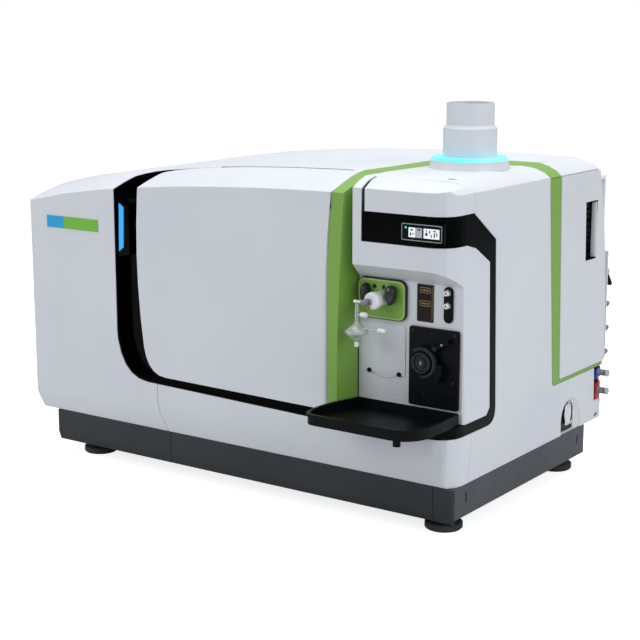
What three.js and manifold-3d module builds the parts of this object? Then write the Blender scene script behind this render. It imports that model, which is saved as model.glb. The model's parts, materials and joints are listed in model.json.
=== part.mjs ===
// Bench-top inductively coupled plasma mass spectrometer, in millimetres.
// x runs to the right, y to the back and z up. The plinth's front face is at y = 0.
import * as THREE from 'three';
import { mergeVertices } from 'three/addons/utils/BufferGeometryUtils.js';
import Module from 'manifold-3d';

const wasm = await Module();
wasm.setup();

// Gaps between pieces
const restGap = 0.3;
const seamGap = 0.8;

// Plinth, its trims and the levelling feet
const plinthWidth = 1100;
const plinthDepth = 605;
const plinthHeight = 67;
const plinthWall = 4;
const footHeight = 38.5;
const footRadius = 40;
const footPadHeight = 15;
const footStemRadius = 17;
const footScrewRadius = 8;
const footInsetX = 57;
const footInsetY = 64;
const footLeftShift = 21;
const footRearShift = 30;
const trimThickness = 9;
const trimCreaseHeight = 20;
const trimChamferDepth = 7;
const trimReachDown = 8;
const cornerPieceWidth = 46;

// Outer form of the body
const bodyHeight = 616;
const leftOverhang = 66;
const frontOverhang = 11;
const rearOverhang = 97;
const coverWall = 4;
const topPeakInset = 250;
const topFall = 69.6;
const shoulderFall = 12;
const shoulderRun = 256;
const leftBulge = 9;
const leftEdgeDrop = 28;
const leftEdgeWidth = 26;
const rightLean = 0.0218;
const rightEdgeDrop = 26;
const rightEdgeWidth = 54;
const rearBulgeTop = 40;
const rearBulgeBottom = 17;
const rearLap = 24;
const frontCornerRadius = 48;
const leftCornerRadius = 24;
const chamferHeight = 44;
const chamferDepth = 13;
const hoodDepth = 131;
const hoodFall = 33;
const capFall = 20;

// Division of the front
const leftCoverWidth = 268;
const gripWidth = 74;
const moduleWidth = 300;
const pillarWidth = 25;
const pillarLeanTop = 12;
const facetRun = 16.5;
const facetDepth = 55;
const lowerPanelHeight = 101.2;
const bandHeight = 24;
const bandSlope = 0.0235;
const doorSlope = 0.0141;
const doorThickness = 24;
const doorHoodWall = 8;
const rimRadius = 88;
const doorRadius = 62;
const hoodSeam = 112;
const panelSeamInset = 128;
const pivotInset = 9;
const pivotRadius = 4;
const pivotLength = 14;

// Sampling bay
const bayDepth = 55;
const browHeight = 49;
const browSlopeDrop = 34;
const displayHeight = 61;
const capHeight = 66;
const capGap = 8;
const capSeam = 72;
const capSideSeam = 90;
const capLeft = 91;
const fasciaWall = 4;
const columnRear = 152;
const stripOuter = 177;
const lowerSeamY = 70;
const roofGap = 1;
const plateHeight = 81;
const plateWidth = 113;
const plateThickness = 9;
const knobWidths = [18, 25];
const knobHeights = [40, 42];
const knobDepth = 22;
const portWidth = 21;
const portHeight = 74;
const indicatorWidth = 35.4;
const indicatorHeight = 74;
const pumpRise = 27.8;
const rotorRadius = 22;
const rotorDepth = 20;
const labelWidth = 162;
const labelHeight = 28;
const screenWidth = 91;
const screenHeight = 32;
const trayDepth = 176;
const trayHeight = 23;
const trayWall = 4;
const spoutRadius = 8;

// Green bands on the top and on the right side
const topBandLeft = 12;
const topBandRight = 70;
const crossBandFront = 368;
const crossBandRear = 470;
const crossBandRun = 84;
const sideBandTopY = 419;
const sideBandFootY = 438;
const sideBandFloor = 125;
const sideBandThin = 9;

// The rear part of the right side stands proud by this much
const rearProud = 2.5;

// Exhaust
const exhaustInsetX = 142;
const exhaustY = 292.6;
const spigotRadius = 50.8;
const spigotLowerRadius = 57.3;
const spigotWall = 2.5;
const spigotHeight = 120;
const spigotStep = 67;
const flangeRadius = 83;
const flangeHeight = 17;
const glowHeight = 6;
const exhaustBore = 47;

// Rear and right-hand services
const ventWidth = 62;
const ventHeight = 134;
const ventDepth = 16;
const ventRearInset = 108;
const noseLength = 47;
const noseHeight = 46;
const connectorRed = 45;
const connectorGap = 8;
const connectorBlue = 25.5;
const latchRearInset = 170;
const latchWidth = 97;
const handleLength = 156;
const handleWidth = 22;
const handleDepth = 30;
const nippleLength = 34;
const fanRadius = 58;
const fanHub = 20;
const fanAxle = 5;
const fanDepth = 22;
const fanBlades = 7;

// Inside
const frameWall = 4;
const torchLength = 190;
const coilTurns = 3;
const coilPitch = 8;
const chamberFront = 326;
const chamberDepth = 150;
const chamberWall = 8;
const caseFront = 110;
const generatorDepth = 220;
const supplyHeight = 150;
const turboInset = 270;

// Colours
const paintLight = { color: 0xd3d6da, roughness: 0.42, metalness: 0.0 };
const paintGreen = { color: 0x7cae4a, roughness: 0.4, metalness: 0.0 };
const plasticBlack = { color: 0x15171a, roughness: 0.3, metalness: 0.0 };
const steelDark = { color: 0x4b4f54, roughness: 0.5, metalness: 0.1 };
const steelBare = { color: 0xb4b8bc, roughness: 0.35, metalness: 0.9 };
const rubberDark = { color: 0x3a3c3e, roughness: 0.8, metalness: 0.0 };
const plasticGrey = { color: 0x9b9fa3, roughness: 0.5, metalness: 0.0 };
const plasticWhite = { color: 0xf0f0ee, roughness: 0.35, metalness: 0.0 };
const glassClear = { color: 0xdfeee6, roughness: 0.05, metalness: 0.0 };
const glowCyan = { color: 0x64e8fa, roughness: 0.3, metalness: 0.0 };
const glowBlue = { color: 0x46b4f0, roughness: 0.3, metalness: 0.0 };
const plasticBrown = { color: 0x3a2a14, roughness: 0.25, metalness: 0.0 };
const plasticBlue = { color: 0x2a2fb4, roughness: 0.4, metalness: 0.0 };
const plasticRed = { color: 0xb4202a, roughness: 0.4, metalness: 0.0 };
const chrome = { color: 0xe8eaee, roughness: 0.1, metalness: 1.0 };
const copper = { color: 0xc77b4a, roughness: 0.3, metalness: 1.0 };
const aluminium = { color: 0xc9ccd0, roughness: 0.4, metalness: 0.85 };
const displayFace = { color: 0xd9dde0, roughness: 0.2, metalness: 0.0 };

// Levels and sides that the sizes above give
const plinthTop = footHeight + plinthHeight;
const bodyFloor = plinthTop + restGap;
const bodyTop = bodyFloor + bodyHeight;
const bodyLeft = -plinthWidth / 2 - leftOverhang;
const bodyRight = plinthWidth / 2;
const bodyFront = -frontOverhang;
const bodyRear = plinthDepth + rearOverhang;
const bodyMidZ = bodyFloor + 0.47 * bodyHeight;
const topPeakX = bodyRight - topPeakInset;
const pillarX = bodyRight - moduleWidth;
const rimX = bodyLeft + leftCoverWidth;
const doorX = rimX + gripWidth;
const bandZ = bodyFloor + lowerPanelHeight;
const fasciaFloor = bandZ + bandHeight;
const capFloor = bodyTop - capHeight;
const displayFloor = capFloor - displayHeight;
const browFloor = displayFloor - browHeight;
const bayRoof = browFloor - browSlopeDrop;
const bayBackY = bodyFront + bayDepth;
const exhaustX = bodyRight - exhaustInsetX;
const creaseZ = bodyTop - rightEdgeDrop - 2;
const farAway = 400;
const farBack = 900;
const margin = 60;

// Solids and geometries

function solidOf(geometry) {
  let plain = geometry.clone();
  plain.deleteAttribute('normal');
  plain.deleteAttribute('uv');
  plain = mergeVertices(plain, 1e-4);
  const vertProperties = new Float32Array(plain.attributes.position.array);
  const triVerts = new Uint32Array(plain.index.array);
  return new wasm.Manifold(new wasm.Mesh({ numProp: 3, vertProperties, triVerts }));
}

function geometryOf(solid) {
  const mesh = solid.getMesh();
  const geometry = new THREE.BufferGeometry();
  geometry.setAttribute('position', new THREE.BufferAttribute(new Float32Array(mesh.vertProperties), 3));
  geometry.setIndex(new THREE.BufferAttribute(new Uint32Array(mesh.triVerts), 1));
  geometry.computeVertexNormals();
  return geometry;
}

function join(...solids) {
  return solids.reduce((whole, next) => whole.add(next));
}

function cut(whole, ...solids) {
  return solids.reduce((rest, next) => rest.subtract(next), whole);
}

function box(x0, x1, y0, y1, z0, z1) {
  const geometry = new THREE.BoxGeometry(x1 - x0, y1 - y0, z1 - z0);
  geometry.translate((x0 + x1) / 2, (y0 + y1) / 2, (z0 + z1) / 2);
  return solidOf(geometry);
}

function shapeOf(points) {
  return new THREE.Shape(points.map(([a, b]) => new THREE.Vector2(a, b)));
}

function extruded(shape, depth, curveSegments = 6) {
  const outline = Array.isArray(shape) ? shapeOf(shape) : shape;
  return new THREE.ExtrudeGeometry(outline, { depth, bevelEnabled: false, curveSegments });
}

// A plan outline of [x, y] points, raised from z0 to z1
function prismZ(outline, z0, z1, curveSegments) {
  const geometry = extruded(outline, z1 - z0, curveSegments);
  geometry.translate(0, 0, z0);
  return solidOf(geometry);
}

// A front outline of [x, z] points, carried back from y0 to y1
function prismY(outline, y0, y1, curveSegments) {
  const geometry = extruded(outline, y1 - y0, curveSegments);
  geometry.rotateX(Math.PI / 2);
  geometry.translate(0, y1, 0);
  return solidOf(geometry);
}

// A side outline of [y, z] points, carried right from x0 to x1
function prismX(outline, x0, x1, curveSegments) {
  const geometry = extruded(outline, x1 - x0, curveSegments);
  const axes = new THREE.Matrix4();
  axes.makeBasis(new THREE.Vector3(0, 1, 0), new THREE.Vector3(0, 0, 1), new THREE.Vector3(1, 0, 0));
  geometry.applyMatrix4(axes);
  geometry.translate(x0, 0, 0);
  return solidOf(geometry);
}

// A turned piece: profile points are [radius, height] along the given axis from a base point
function turned(profile, axis, base, segments = 24) {
  const points = profile.map(([r, h]) => new THREE.Vector2(r, h));
  const geometry = new THREE.LatheGeometry(points, segments);
  if (axis === 'z') geometry.rotateX(Math.PI / 2);
  if (axis === 'x') geometry.rotateZ(-Math.PI / 2);
  geometry.translate(...base);
  return fixed(geometry);
}

// Turns a solid the right way round where its outline was drawn the other way
function fixed(geometry) {
  const solid = solidOf(geometry);
  if (solid.volume() > 0) return solid;
  const flipped = geometry.clone();
  const index = Array.from(flipped.index.array);
  for (let i = 0; i < index.length; i += 3) {
    [index[i], index[i + 1]] = [index[i + 1], index[i]];
  }
  flipped.setIndex(index);
  return solidOf(flipped);
}

function rod(radius, axis, base, length, segments = 24) {
  return turned([[0, 0], [radius, 0], [radius, length], [0, length]], axis, base, segments);
}

function tube(outer, inner, axis, base, length, segments = 24) {
  const profile = [[inner, 0], [outer, 0], [outer, length], [inner, length], [inner, 0]];
  return turned(profile, axis, base, segments);
}

function roundedRect(x0, x1, y0, y1, r) {
  const shape = new THREE.Shape();
  shape.moveTo(x0 + r, y0);
  shape.lineTo(x1 - r, y0);
  shape.absarc(x1 - r, y0 + r, r, -Math.PI / 2, 0);
  shape.lineTo(x1, y1 - r);
  shape.absarc(x1 - r, y1 - r, r, 0, Math.PI / 2);
  shape.lineTo(x0 + r, y1);
  shape.absarc(x0 + r, y1 - r, r, Math.PI / 2, Math.PI);
  shape.lineTo(x0, y0 + r);
  shape.absarc(x0 + r, y0 + r, r, Math.PI, Math.PI * 1.5);
  return shape;
}

// A closed solid through rings of equally many points, each ring seen from the first ring's side
function loft(rings) {
  const count = rings[0].length;
  const position = rings.flat(2);
  const index = [];
  for (let ring = 0; ring < rings.length - 1; ring += 1) {
    for (let i = 0; i < count; i += 1) {
      const a = ring * count + i;
      const b = ring * count + (i + 1) % count;
      index.push(a, b, b + count, a, b + count, a + count);
    }
  }
  const last = (rings.length - 1) * count;
  for (let i = 1; i < count - 1; i += 1) {
    index.push(0, i + 1, i);
    index.push(last, last + i, last + i + 1);
  }
  const geometry = new THREE.BufferGeometry();
  geometry.setAttribute('position', new THREE.Float32BufferAttribute(position, 3));
  geometry.setIndex(index);
  return fixed(geometry);
}

function steps(from, to, count) {
  return Array.from({ length: count + 1 }, (_, i) => from + (to - from) * i / count);
}

// The body's outer form

function topAt(x) {
  const reach = Math.max(0, topPeakX - x) / (topPeakX - bodyLeft);
  const shoulder = Math.max(0, bodyLeft + shoulderRun - x) / shoulderRun;
  return bodyTop - topFall * reach * reach - shoulderFall * shoulder * shoulder;
}

function leftAt(z) {
  const reach = (z - bodyMidZ) / (0.5 * bodyHeight);
  return bodyLeft + leftBulge * reach * reach;
}

function rightAt(z) {
  return bodyRight - rightLean * (z - bodyFloor);
}

function rearAt(z) {
  const bulge = z > bodyMidZ ? rearBulgeTop : rearBulgeBottom;
  const reach = (z - bodyMidZ) / (0.5 * bodyHeight);
  return bodyRear - bulge * reach * reach;
}

function roundIn(behind, radius) {
  if (behind >= radius) return 0;
  return radius - Math.sqrt(radius * radius - (radius - behind) ** 2);
}

// The carcass of the body, wall by wall smaller, with the top falling towards the front
function carcass(wall, fall) {
  const front = bodyFront + wall;
  const below = wall > 0 ? 30 : 0;
  const rise = (behind) => Math.max(-below, chamferHeight * (1 - behind / chamferDepth) + wall);
  const chamferEnd = chamferDepth * (1 + (below + wall) / chamferHeight);
  const corner = [0, 0.25, 0.5, 0.75, 1].map((t) => frontCornerRadius * (1 - Math.cos(t * Math.PI / 2)));
  const hood = [0.55, 0.78, 1].map((t) => t * hoodDepth);
  const stations = [...corner, chamferEnd, ...hood, bodyRear + 40 - front].sort((a, b) => a - b);
  const rings = stations.map((behind) => {
    const y = front + behind;
    const floor = bodyFloor + rise(behind);
    const away = Math.max(0, 1 - behind / hoodDepth);
    const drop = fall * away ** 1.5 + wall;
    const left = bodyLeft - 5 + wall + roundIn(behind, leftCornerRadius);
    const inset = wall + roundIn(behind, frontCornerRadius);
    const right = rightAt(bodyTop) - inset;
    const ring = [[left, y, floor]];
    ring.push([rightAt(floor) - inset, y, floor]);
    steps(right, left, 10).forEach((x) => ring.push([x, y, topAt(x) - drop]));
    return ring;
  });
  return loft(rings);
}

function frontProfile(wall) {
  const below = wall > 0 ? 30 : 0;
  const floor = bodyFloor - below;
  const chamferIn = chamferDepth * (1 + below / chamferHeight);
  const chamferTop = bodyFloor + chamferHeight;
  const shoulderX = leftAt(bodyTop - topFall) + leftEdgeWidth;
  const shoulderZ = topAt(shoulderX);
  const sideTop = shoulderZ - leftEdgeDrop;
  const points = [[leftAt(chamferTop) + chamferIn + wall, floor], [rightAt(floor) - wall, floor]];
  const edge = rightAt(creaseZ) - wall;
  points.push([edge, bodyTop - rightEdgeDrop - wall]);
  points.push([edge - 0.22 * rightEdgeWidth, bodyTop - 0.6 * rightEdgeDrop - wall]);
  points.push([edge - 0.55 * rightEdgeWidth, bodyTop - 0.26 * rightEdgeDrop - wall]);
  points.push([edge - rightEdgeWidth, bodyTop - wall]);
  steps(topPeakX, shoulderX, 8).forEach((x) => points.push([x, topAt(x) - wall]));
  points.push([leftAt(sideTop) + 0.3 * leftEdgeWidth + wall, shoulderZ - 0.42 * leftEdgeDrop - wall]);
  steps(sideTop, chamferTop, 5).forEach((z) => points.push([leftAt(z) + wall, z - wall]));
  return points;
}

function sideProfile(wall) {
  const below = wall > 0 ? 30 : 0;
  const points = [[bodyFront - margin, bodyFloor - below], [rearAt(bodyFloor) - wall, bodyFloor - below]];
  const rearTop = bodyTop - rightEdgeDrop;
  steps(bodyFloor, rearTop, 6).slice(1).forEach((z) => points.push([rearAt(z) - wall, z]));
  points.push([rearAt(rearTop) - 9 - wall, bodyTop - 14 - wall]);
  points.push([rearAt(rearTop) - 34 - wall, bodyTop - wall + 10]);
  points.push([bodyFront - margin, bodyTop - wall + 10]);
  return points;
}

function body(wall, fall) {
  const frontCut = prismY(frontProfile(wall), bodyFront - margin, bodyRear + margin);
  const sideCut = prismX(sideProfile(wall), bodyLeft - margin, bodyRight + margin);
  return carcass(wall, fall).intersect(frontCut).intersect(sideCut);
}

const bodyOuter = body(0, hoodFall);
const bodyWall = body(coverWall, hoodFall);
const moduleOuter = body(0, capFall);
const moduleWall = body(coverWall, capFall);
const shellLeft = cut(bodyOuter, bodyWall);
const shellRight = cut(moduleOuter, moduleWall);

// Lines that divide the front

function pillarLeft(z) {
  const reach = Math.max(0, z - bodyMidZ - 90) / 200;
  return pillarX + pillarLeanTop * Math.min(reach * reach, 1);
}

function pillarRidge(z) {
  const reach = Math.max(0, z - bodyFloor - 150) / 430;
  return pillarX + pillarWidth + 15 * Math.min(reach * reach, 1);
}

function rimAt(z) {
  const reach = (z - bodyMidZ - 92) / 300;
  return rimX + 27 * reach * reach;
}

function doorLeftAt(z) {
  const reach = (z - bodyMidZ - 124) / 300;
  return doorX + 29 * reach * reach;
}

function bandAt(x) {
  return bandZ + bandSlope * Math.max(0, pillarX - 53 - x);
}

function doorFloorAt(x) {
  return fasciaFloor - 2 + doorSlope * (pillarX - 27 - x);
}

// Front outline right of a bulging left edge, with a round lower corner
function frontOpening(edgeAt, floorAt, radius, grow, right) {
  const start = floorAt(edgeAt(fasciaFloor)) + radius;
  const shape = new THREE.Shape();
  const cornerX = edgeAt(start) - grow;
  const end = cornerX + radius;
  shape.moveTo(right, floorAt(right) - grow);
  shape.lineTo(pillarX - 53, floorAt(pillarX - 53) - grow);
  shape.lineTo(end, floorAt(end) - grow);
  shape.quadraticCurveTo(cornerX + 0.18 * radius, floorAt(cornerX) - grow, cornerX, start - grow);
  steps(start, bodyTop, 6).slice(1).forEach((z) => shape.lineTo(edgeAt(z) - grow, z));
  shape.lineTo(edgeAt(bodyTop) - grow, bodyTop + 80);
  shape.lineTo(right, bodyTop + 80);
  return shape;
}

// Plan outline in front of the hood's seam, with a round rear left corner
function planOpening(edge, cornerX, startX, seam, grow, right) {
  const shape = new THREE.Shape();
  shape.moveTo(right, bodyFront - margin);
  shape.lineTo(right, seam + grow);
  shape.lineTo(startX, seam + grow);
  const near = edge - grow;
  shape.bezierCurveTo(cornerX, seam - 4 + grow, near + 2, seam - 15 + grow, near, seam - 72);
  shape.lineTo(near, bodyFront - margin);
  return shape;
}

const rimTopEdge = rimX + 8;
const doorTopEdge = doorX - 7;

function recess(grow) {
  const right = bodyRight + margin;
  const front = prismY(frontOpening(rimAt, bandAt, rimRadius, grow, right), -farAway, farAway, 5);
  const planShape = planOpening(rimTopEdge, rimX + 78, doorX + 154, hoodSeam + seamGap, grow, right);
  return front.intersect(prismZ(planShape, bodyFloor - 20, bodyTop + margin, 7));
}

function doorSpace(grow) {
  const right = bodyRight + margin;
  const front = prismY(frontOpening(doorLeftAt, doorFloorAt, doorRadius, grow, right), -farAway,
    farAway, 5);
  const planShape = planOpening(doorTopEdge, doorX + 84, doorX + 214, hoodSeam, grow, right);
  return front.intersect(prismZ(planShape, bodyFloor - 20, bodyTop + margin, 7));
}

// Everything left of a line that leans with the pillar's left edge
function leftOfPillar(gap, grow = 0) {
  const right = steps(bodyFloor - 40, bodyTop + margin, 10).map((z) => [pillarLeft(z) - gap + grow, z]);
  return prismY([[bodyLeft - margin, bodyFloor - 40], ...right, [bodyLeft - margin, bodyTop + margin]],
    -farAway, farBack);
}

// Pieces

const machine = new THREE.Group();

function section() {
  const part = new THREE.Group();
  machine.add(part);
  return part;
}

// Adds a piece about its own centre, or about the pivot it turns on
function add(parent, name, solid, finish, pivot) {
  const geometry = geometryOf(solid);
  geometry.computeBoundingBox();
  const centre = pivot || geometry.boundingBox.getCenter(new THREE.Vector3());
  geometry.translate(-centre.x, -centre.y, -centre.z);
  const mesh = new THREE.Mesh(geometry, new THREE.MeshStandardMaterial(finish));
  mesh.name = name;
  mesh.position.copy(centre);
  parent.add(mesh);
}

// Plinth: a welded steel tray, open below, with two slots in its right side
function plinthFrame() {
  const front = trimThickness + restGap;
  const half = plinthWidth / 2;
  const outer = box(-half, half, front, plinthDepth, footHeight, plinthTop);
  const inner = box(
    -half + plinthWall, half - plinthWall, front + plinthWall, plinthDepth - plinthWall,
    footHeight - 5, plinthTop - plinthWall,
  );
  const slots = [53, plinthDepth - 38].map((y) => box(half - 20, half + 20, y, y + 5, plinthTop - 39,
    plinthTop - 18));
  return cut(outer, inner, ...slots);
}

function trimSection() {
  const crease = footHeight - trimReachDown + trimCreaseHeight;
  const low = footHeight - trimReachDown;
  return [
    [trimThickness, plinthTop], [0, plinthTop], [0, crease],
    [trimChamferDepth, low], [trimThickness, low],
  ];
}

function frontTrim(x0, x1) {
  return prismX(trimSection(), x0, x1);
}

// The corner piece closes the trim round the right-hand corner
function cornerTrim(x0, x1) {
  const plan = new THREE.Shape();
  const round = 10;
  plan.moveTo(x0, trimThickness);
  plan.lineTo(x0, 0);
  plan.lineTo(x1 - round, 0);
  plan.quadraticCurveTo(x1, 0, x1, trimThickness);
  return prismX(trimSection(), x0, x1).intersect(prismZ(plan, 0, plinthTop, 5));
}

function levellingFoot(x, y) {
  const pad = footPadHeight;
  const profile = [
    [0, 0], [footRadius - 3, 0], [footRadius, 3], [footRadius, pad - 2], [footRadius - 3, pad],
    [footStemRadius + 6, pad], [footStemRadius, pad + 5],
    [footStemRadius, footHeight - restGap], [footScrewRadius, footHeight - restGap],
    [footScrewRadius, plinthTop - plinthWall - restGap], [0, plinthTop - plinthWall - restGap],
  ];
  return turned(profile, 'z', [x, y, 0], 20);
}

const leftSeamY = bodyFront + 74;
const panelSeamX = rimX + panelSeamInset;
const panelSeamFoot = panelSeamX + 27;
const sideSeamTop = lowerSeamY + 4;
const sideSeamFoot = lowerSeamY - 10;

// Lower front panel: everything below the dark band, from the seam to round the corner
function lowerPanelRegion(grow) {
  const seam = panelSeamX - grow;
  const foot = panelSeamFoot - grow;
  const right = bodyRight + margin;
  const bendZ = bodyFloor + chamferHeight + 26;
  const front = prismY([
    [foot, bodyFloor - 20], [right, bodyFloor - 20], [right, bandZ + grow],
    [pillarX - 53, bandZ + grow], [seam, bandAt(seam) + grow], [seam, bendZ], [seam + 6, bendZ - 26],
  ], bodyFront - margin, sideSeamTop + 20);
  const side = prismX([
    [bodyFront - 80, bodyFloor - 30], [sideSeamFoot + grow, bodyFloor - 30],
    [sideSeamTop + grow, bandZ], [sideSeamTop + grow, bandZ + 60], [bodyFront - 80, bandZ + 60],
  ], bodyLeft - margin, right);
  return front.intersect(side);
}

// Right side cover: side outline of [y, z] points, behind the corner and the black strip
function rightSideOutline() {
  const shape = new THREE.Shape();
  const corner = 34;
  const outer = stripOuter + seamGap;
  const floor = bandZ + seamGap;
  const band = bodyFloor + sideBandFloor - seamGap;
  shape.moveTo(sideSeamFoot + seamGap, bodyFloor - 30);
  shape.lineTo(sideSeamTop + seamGap, bandZ);
  shape.lineTo(outer - corner, floor - seamGap);
  shape.quadraticCurveTo(outer, floor, outer, floor + corner);
  shape.lineTo(outer, displayFloor - 2);
  shape.lineTo(capSideSeam + seamGap, capFloor - 2);
  shape.lineTo(capSideSeam + seamGap, bodyTop + 40);
  shape.lineTo(sideBandTopY - seamGap, bodyTop + 40);
  shape.lineTo(sideBandTopY - seamGap, creaseZ - seamGap);
  shape.lineTo(sideBandFootY - seamGap, band + 12);
  shape.quadraticCurveTo(sideBandFootY - seamGap, band, sideBandFootY + 12, band);
  shape.lineTo(bodyRear + margin, band);
  shape.lineTo(bodyRear + margin, bodyFloor - 30);
  return shape;
}

function bandLeftAt(y) {
  const away = 1 - (y - hoodSeam) / (crossBandFront - hoodSeam);
  return pillarX + topBandLeft - 8 * away * away;
}

function bandRightAt(y) {
  const away = 1 - (y - hoodSeam) / (crossBandFront - hoodSeam);
  return pillarX + topBandRight - 14 * away * away;
}

const topEdgeX = rightAt(creaseZ);
const crossTurn = sideBandTopY - crossBandFront;

// Front and rear edge of the cross band, from the long band out over the right edge
function crossFront(shift) {
  return [
    [topEdgeX - crossBandRun, crossBandFront + shift],
    [topEdgeX - 0.62 * crossBandRun, crossBandFront + 0.43 * crossTurn + shift],
    [topEdgeX - 0.45 * crossBandRun, crossBandFront + 0.75 * crossTurn + shift],
    [topEdgeX - 0.17 * crossBandRun, sideBandTopY - 0.06 * crossTurn + shift],
    [topEdgeX, sideBandTopY + shift], [bodyRight + margin, sideBandTopY + shift],
  ];
}

function topBandOutline() {
  const ys = steps(hoodSeam + seamGap, crossBandFront, 4);
  const left = ys.map((y) => [bandLeftAt(y), y]).reverse();
  const right = ys.map((y) => [bandRightAt(y), y]);
  return [
    ...right, ...crossFront(0), [bodyRight + margin, crossBandRear],
    [bandLeftAt(crossBandFront), crossBandRear], ...left,
  ];
}

// The cap over the display: its left edge leans in over the hood
function capOutline(grow) {
  const shape = new THREE.Shape();
  const left = pillarX + capLeft - grow;
  const seam = capSeam + grow;
  shape.moveTo(left, bodyFront - margin);
  shape.lineTo(left, bodyFront + 2);
  shape.lineTo(left - 18, seam - 30);
  shape.lineTo(left - 22, seam);
  shape.lineTo(bodyRight - 60, seam - 6);
  shape.quadraticCurveTo(topEdgeX - 8, seam - 4, topEdgeX - 1, capSideSeam + grow);
  shape.lineTo(bodyRight + margin, capSideSeam + grow);
  shape.lineTo(bodyRight + margin, bodyFront - margin);
  return shape;
}

// The top of the module: all between the green bands and the cap
function moduleTopOutline() {
  const ys = steps(hoodSeam, crossBandFront - seamGap, 4);
  const left = ys.map((y) => [bandRightAt(y) + seamGap, y]).reverse();
  return [
    ...left, [bandRightAt(hoodSeam) + seamGap, hoodSeam - 12], [valleyTopX + seamGap, valleyTopY],
      [valleyTopX + seamGap, capSeam + seamGap - 2],
    [bodyRight + margin, capSeam + seamGap - 2], ...crossFront(-seamGap).reverse(),
  ];
}

const valleyX = pillarX + pillarWidth + facetRun;
const valleyTopX = pillarX + 39;
const valleyTopY = capSeam + 1;
const stripLeft = pillarX + 62;

function exhaustHole(radius) {
  return rod(radius, 'z', [exhaustX, exhaustY, bodyTop - 60], 120, 32);
}

// Main cover: the left of the front and the whole top left of and behind the green bands
function mainCover() {
  const ys = steps(hoodSeam, crossBandFront, 4);
  const module = prismZ([
    ...ys.map((y) => [bandLeftAt(y) - seamGap, y]),
    [bandLeftAt(crossBandFront) - seamGap, crossBandRear + seamGap],
    [bodyRight + 90, crossBandRear + seamGap], [bodyRight + 90, -farAway], [pillarX, -farAway],
  ], bodyFloor - 40, bodyTop + margin);
  const rightSide = box(bodyRight - 90, bodyRight + margin, -farAway, farBack, bodyFloor - 40, creaseZ);
  return cut(
    shellLeft, recess(0), lowerPanelRegion(seamGap), module, rightSide,
    leftSideRegion(seamGap), rearOpening(),
  );
}

function leftSideRegion(grow) {
  const y0 = leftSeamY - grow;
  return box(bodyLeft - margin, bodyLeft + 60, y0, farBack, bodyFloor - 40, bodyTop - topFall - 56 + grow);
}

// Front outline of the rear panel: the covers lap round it, most at the falling top
function rearOutline(inset, floor) {
  const drop = (z) => (z > bodyMidZ ? rearLap : 0);
  return frontProfile(coverWall + 2 + inset).map(([x, z]) => [x, Math.max(z - drop(z), floor)]);
}

function rearOpening() {
  return prismY(rearOutline(0, bodyFloor), bodyRear - 90, bodyRear + margin);
}

function leftSidePanel() {
  return cut(shellLeft.intersect(leftSideRegion(0)), rearOpening());
}

// Rear panel: a spider across the fan opening carries the fan's axle
function rearPanel() {
  const outline = rearOutline(seamGap, bodyFloor + 2);
  const wall = shellLeft.intersect(prismY(outline, bodyRear - 84, bodyRear + margin));
  const opening = rod(fanRadius + 4, 'y', [fanX, bodyRear - 60, fanZ], 120, 36);
  const back = rearAt(fanZ) - coverWall;
  const hub = rod(fanHub, 'y', [fanX, back, fanZ], coverWall, 20);
  const axle = rod(fanAxle, 'y', [fanX, back - 30, fanZ], 32, 16);
  const spokes = [0, 1].map((turn) => {
    const long = fanRadius + 8;
    const wide = 4;
    return turn ? box(fanX - long, fanX + long, back, back + coverWall, fanZ - wide, fanZ + wide)
      : box(fanX - wide, fanX + wide, back, back + coverWall, fanZ - long, fanZ + long);
  });
  return join(cut(wall, opening), hub, axle, ...spokes);
}

const fanX = bodyLeft + 170;
const fanZ = bodyMidZ + 20;

// Fan rotor: a hub with swept blades on the axle
function coolingFan() {
  const y1 = rearAt(fanZ) - coverWall - 2;
  const depth = fanDepth;
  const hub = tube(fanHub, fanAxle + restGap, 'y', [fanX, y1 - depth, fanZ], depth, 24);
  const count = fanBlades;
  const blades = steps(0, count - 1, count - 1).map((i) => {
    const blade = new THREE.BoxGeometry(fanRadius - fanHub + 3, 3, depth);
    blade.rotateX(0.7);
    blade.translate((fanRadius + fanHub - 3) / 2, y1 - depth / 2, 0);
    blade.rotateY(i * 2 * Math.PI / count);
    blade.translate(fanX, 0, fanZ);
    return solidOf(blade);
  });
  const slab = box(bodyLeft, bodyRight, y1 - depth, y1, bodyFloor, bodyTop);
  return join(hub, ...blades).intersect(slab);
}

// Space the door's right-hand edge may fill while it swings about its pivot
function swingSpace() {
  const low = bodyFloor + 40;
  const profile = steps(low, bodyTop + margin, 10).map((z) => [pillarLeft(z) - seamGap - 0.3 - pivotX, z]);
  const round = turned([[0, low], ...profile, [0, bodyTop + margin]], 'z', [pivotX, pivotY, 0], 40);
  const behind = rod(hoodSeam - pivotY - 0.2, 'z', [pivotX, pivotY, low], bodyTop, 48);
  const split = (y0, y1) => box(pivotX, pivotX + farAway, y0, y1, 0, bodyTop + 90);
  const left = box(-farAway * 3, pivotX + 1, -farAway, farAway, 0, bodyTop + 90);
  return join(left, round.intersect(split(-farAway, pivotY)), behind.intersect(split(pivotY, farAway)));
}

// Plan of the door's leaning right-hand edge on the hood
function hoodLean(gap) {
  const foot = pillarX + pillarLeanTop - gap;
  return prismZ([
    [-farAway * 3, -farAway], [foot, -farAway], [foot, bodyFront], [pillarX + 4 - gap, hoodSeam],
    [pillarX + 4 - gap, farAway], [-farAway * 3, farAway],
  ], 0, bodyTop + 90);
}

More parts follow.
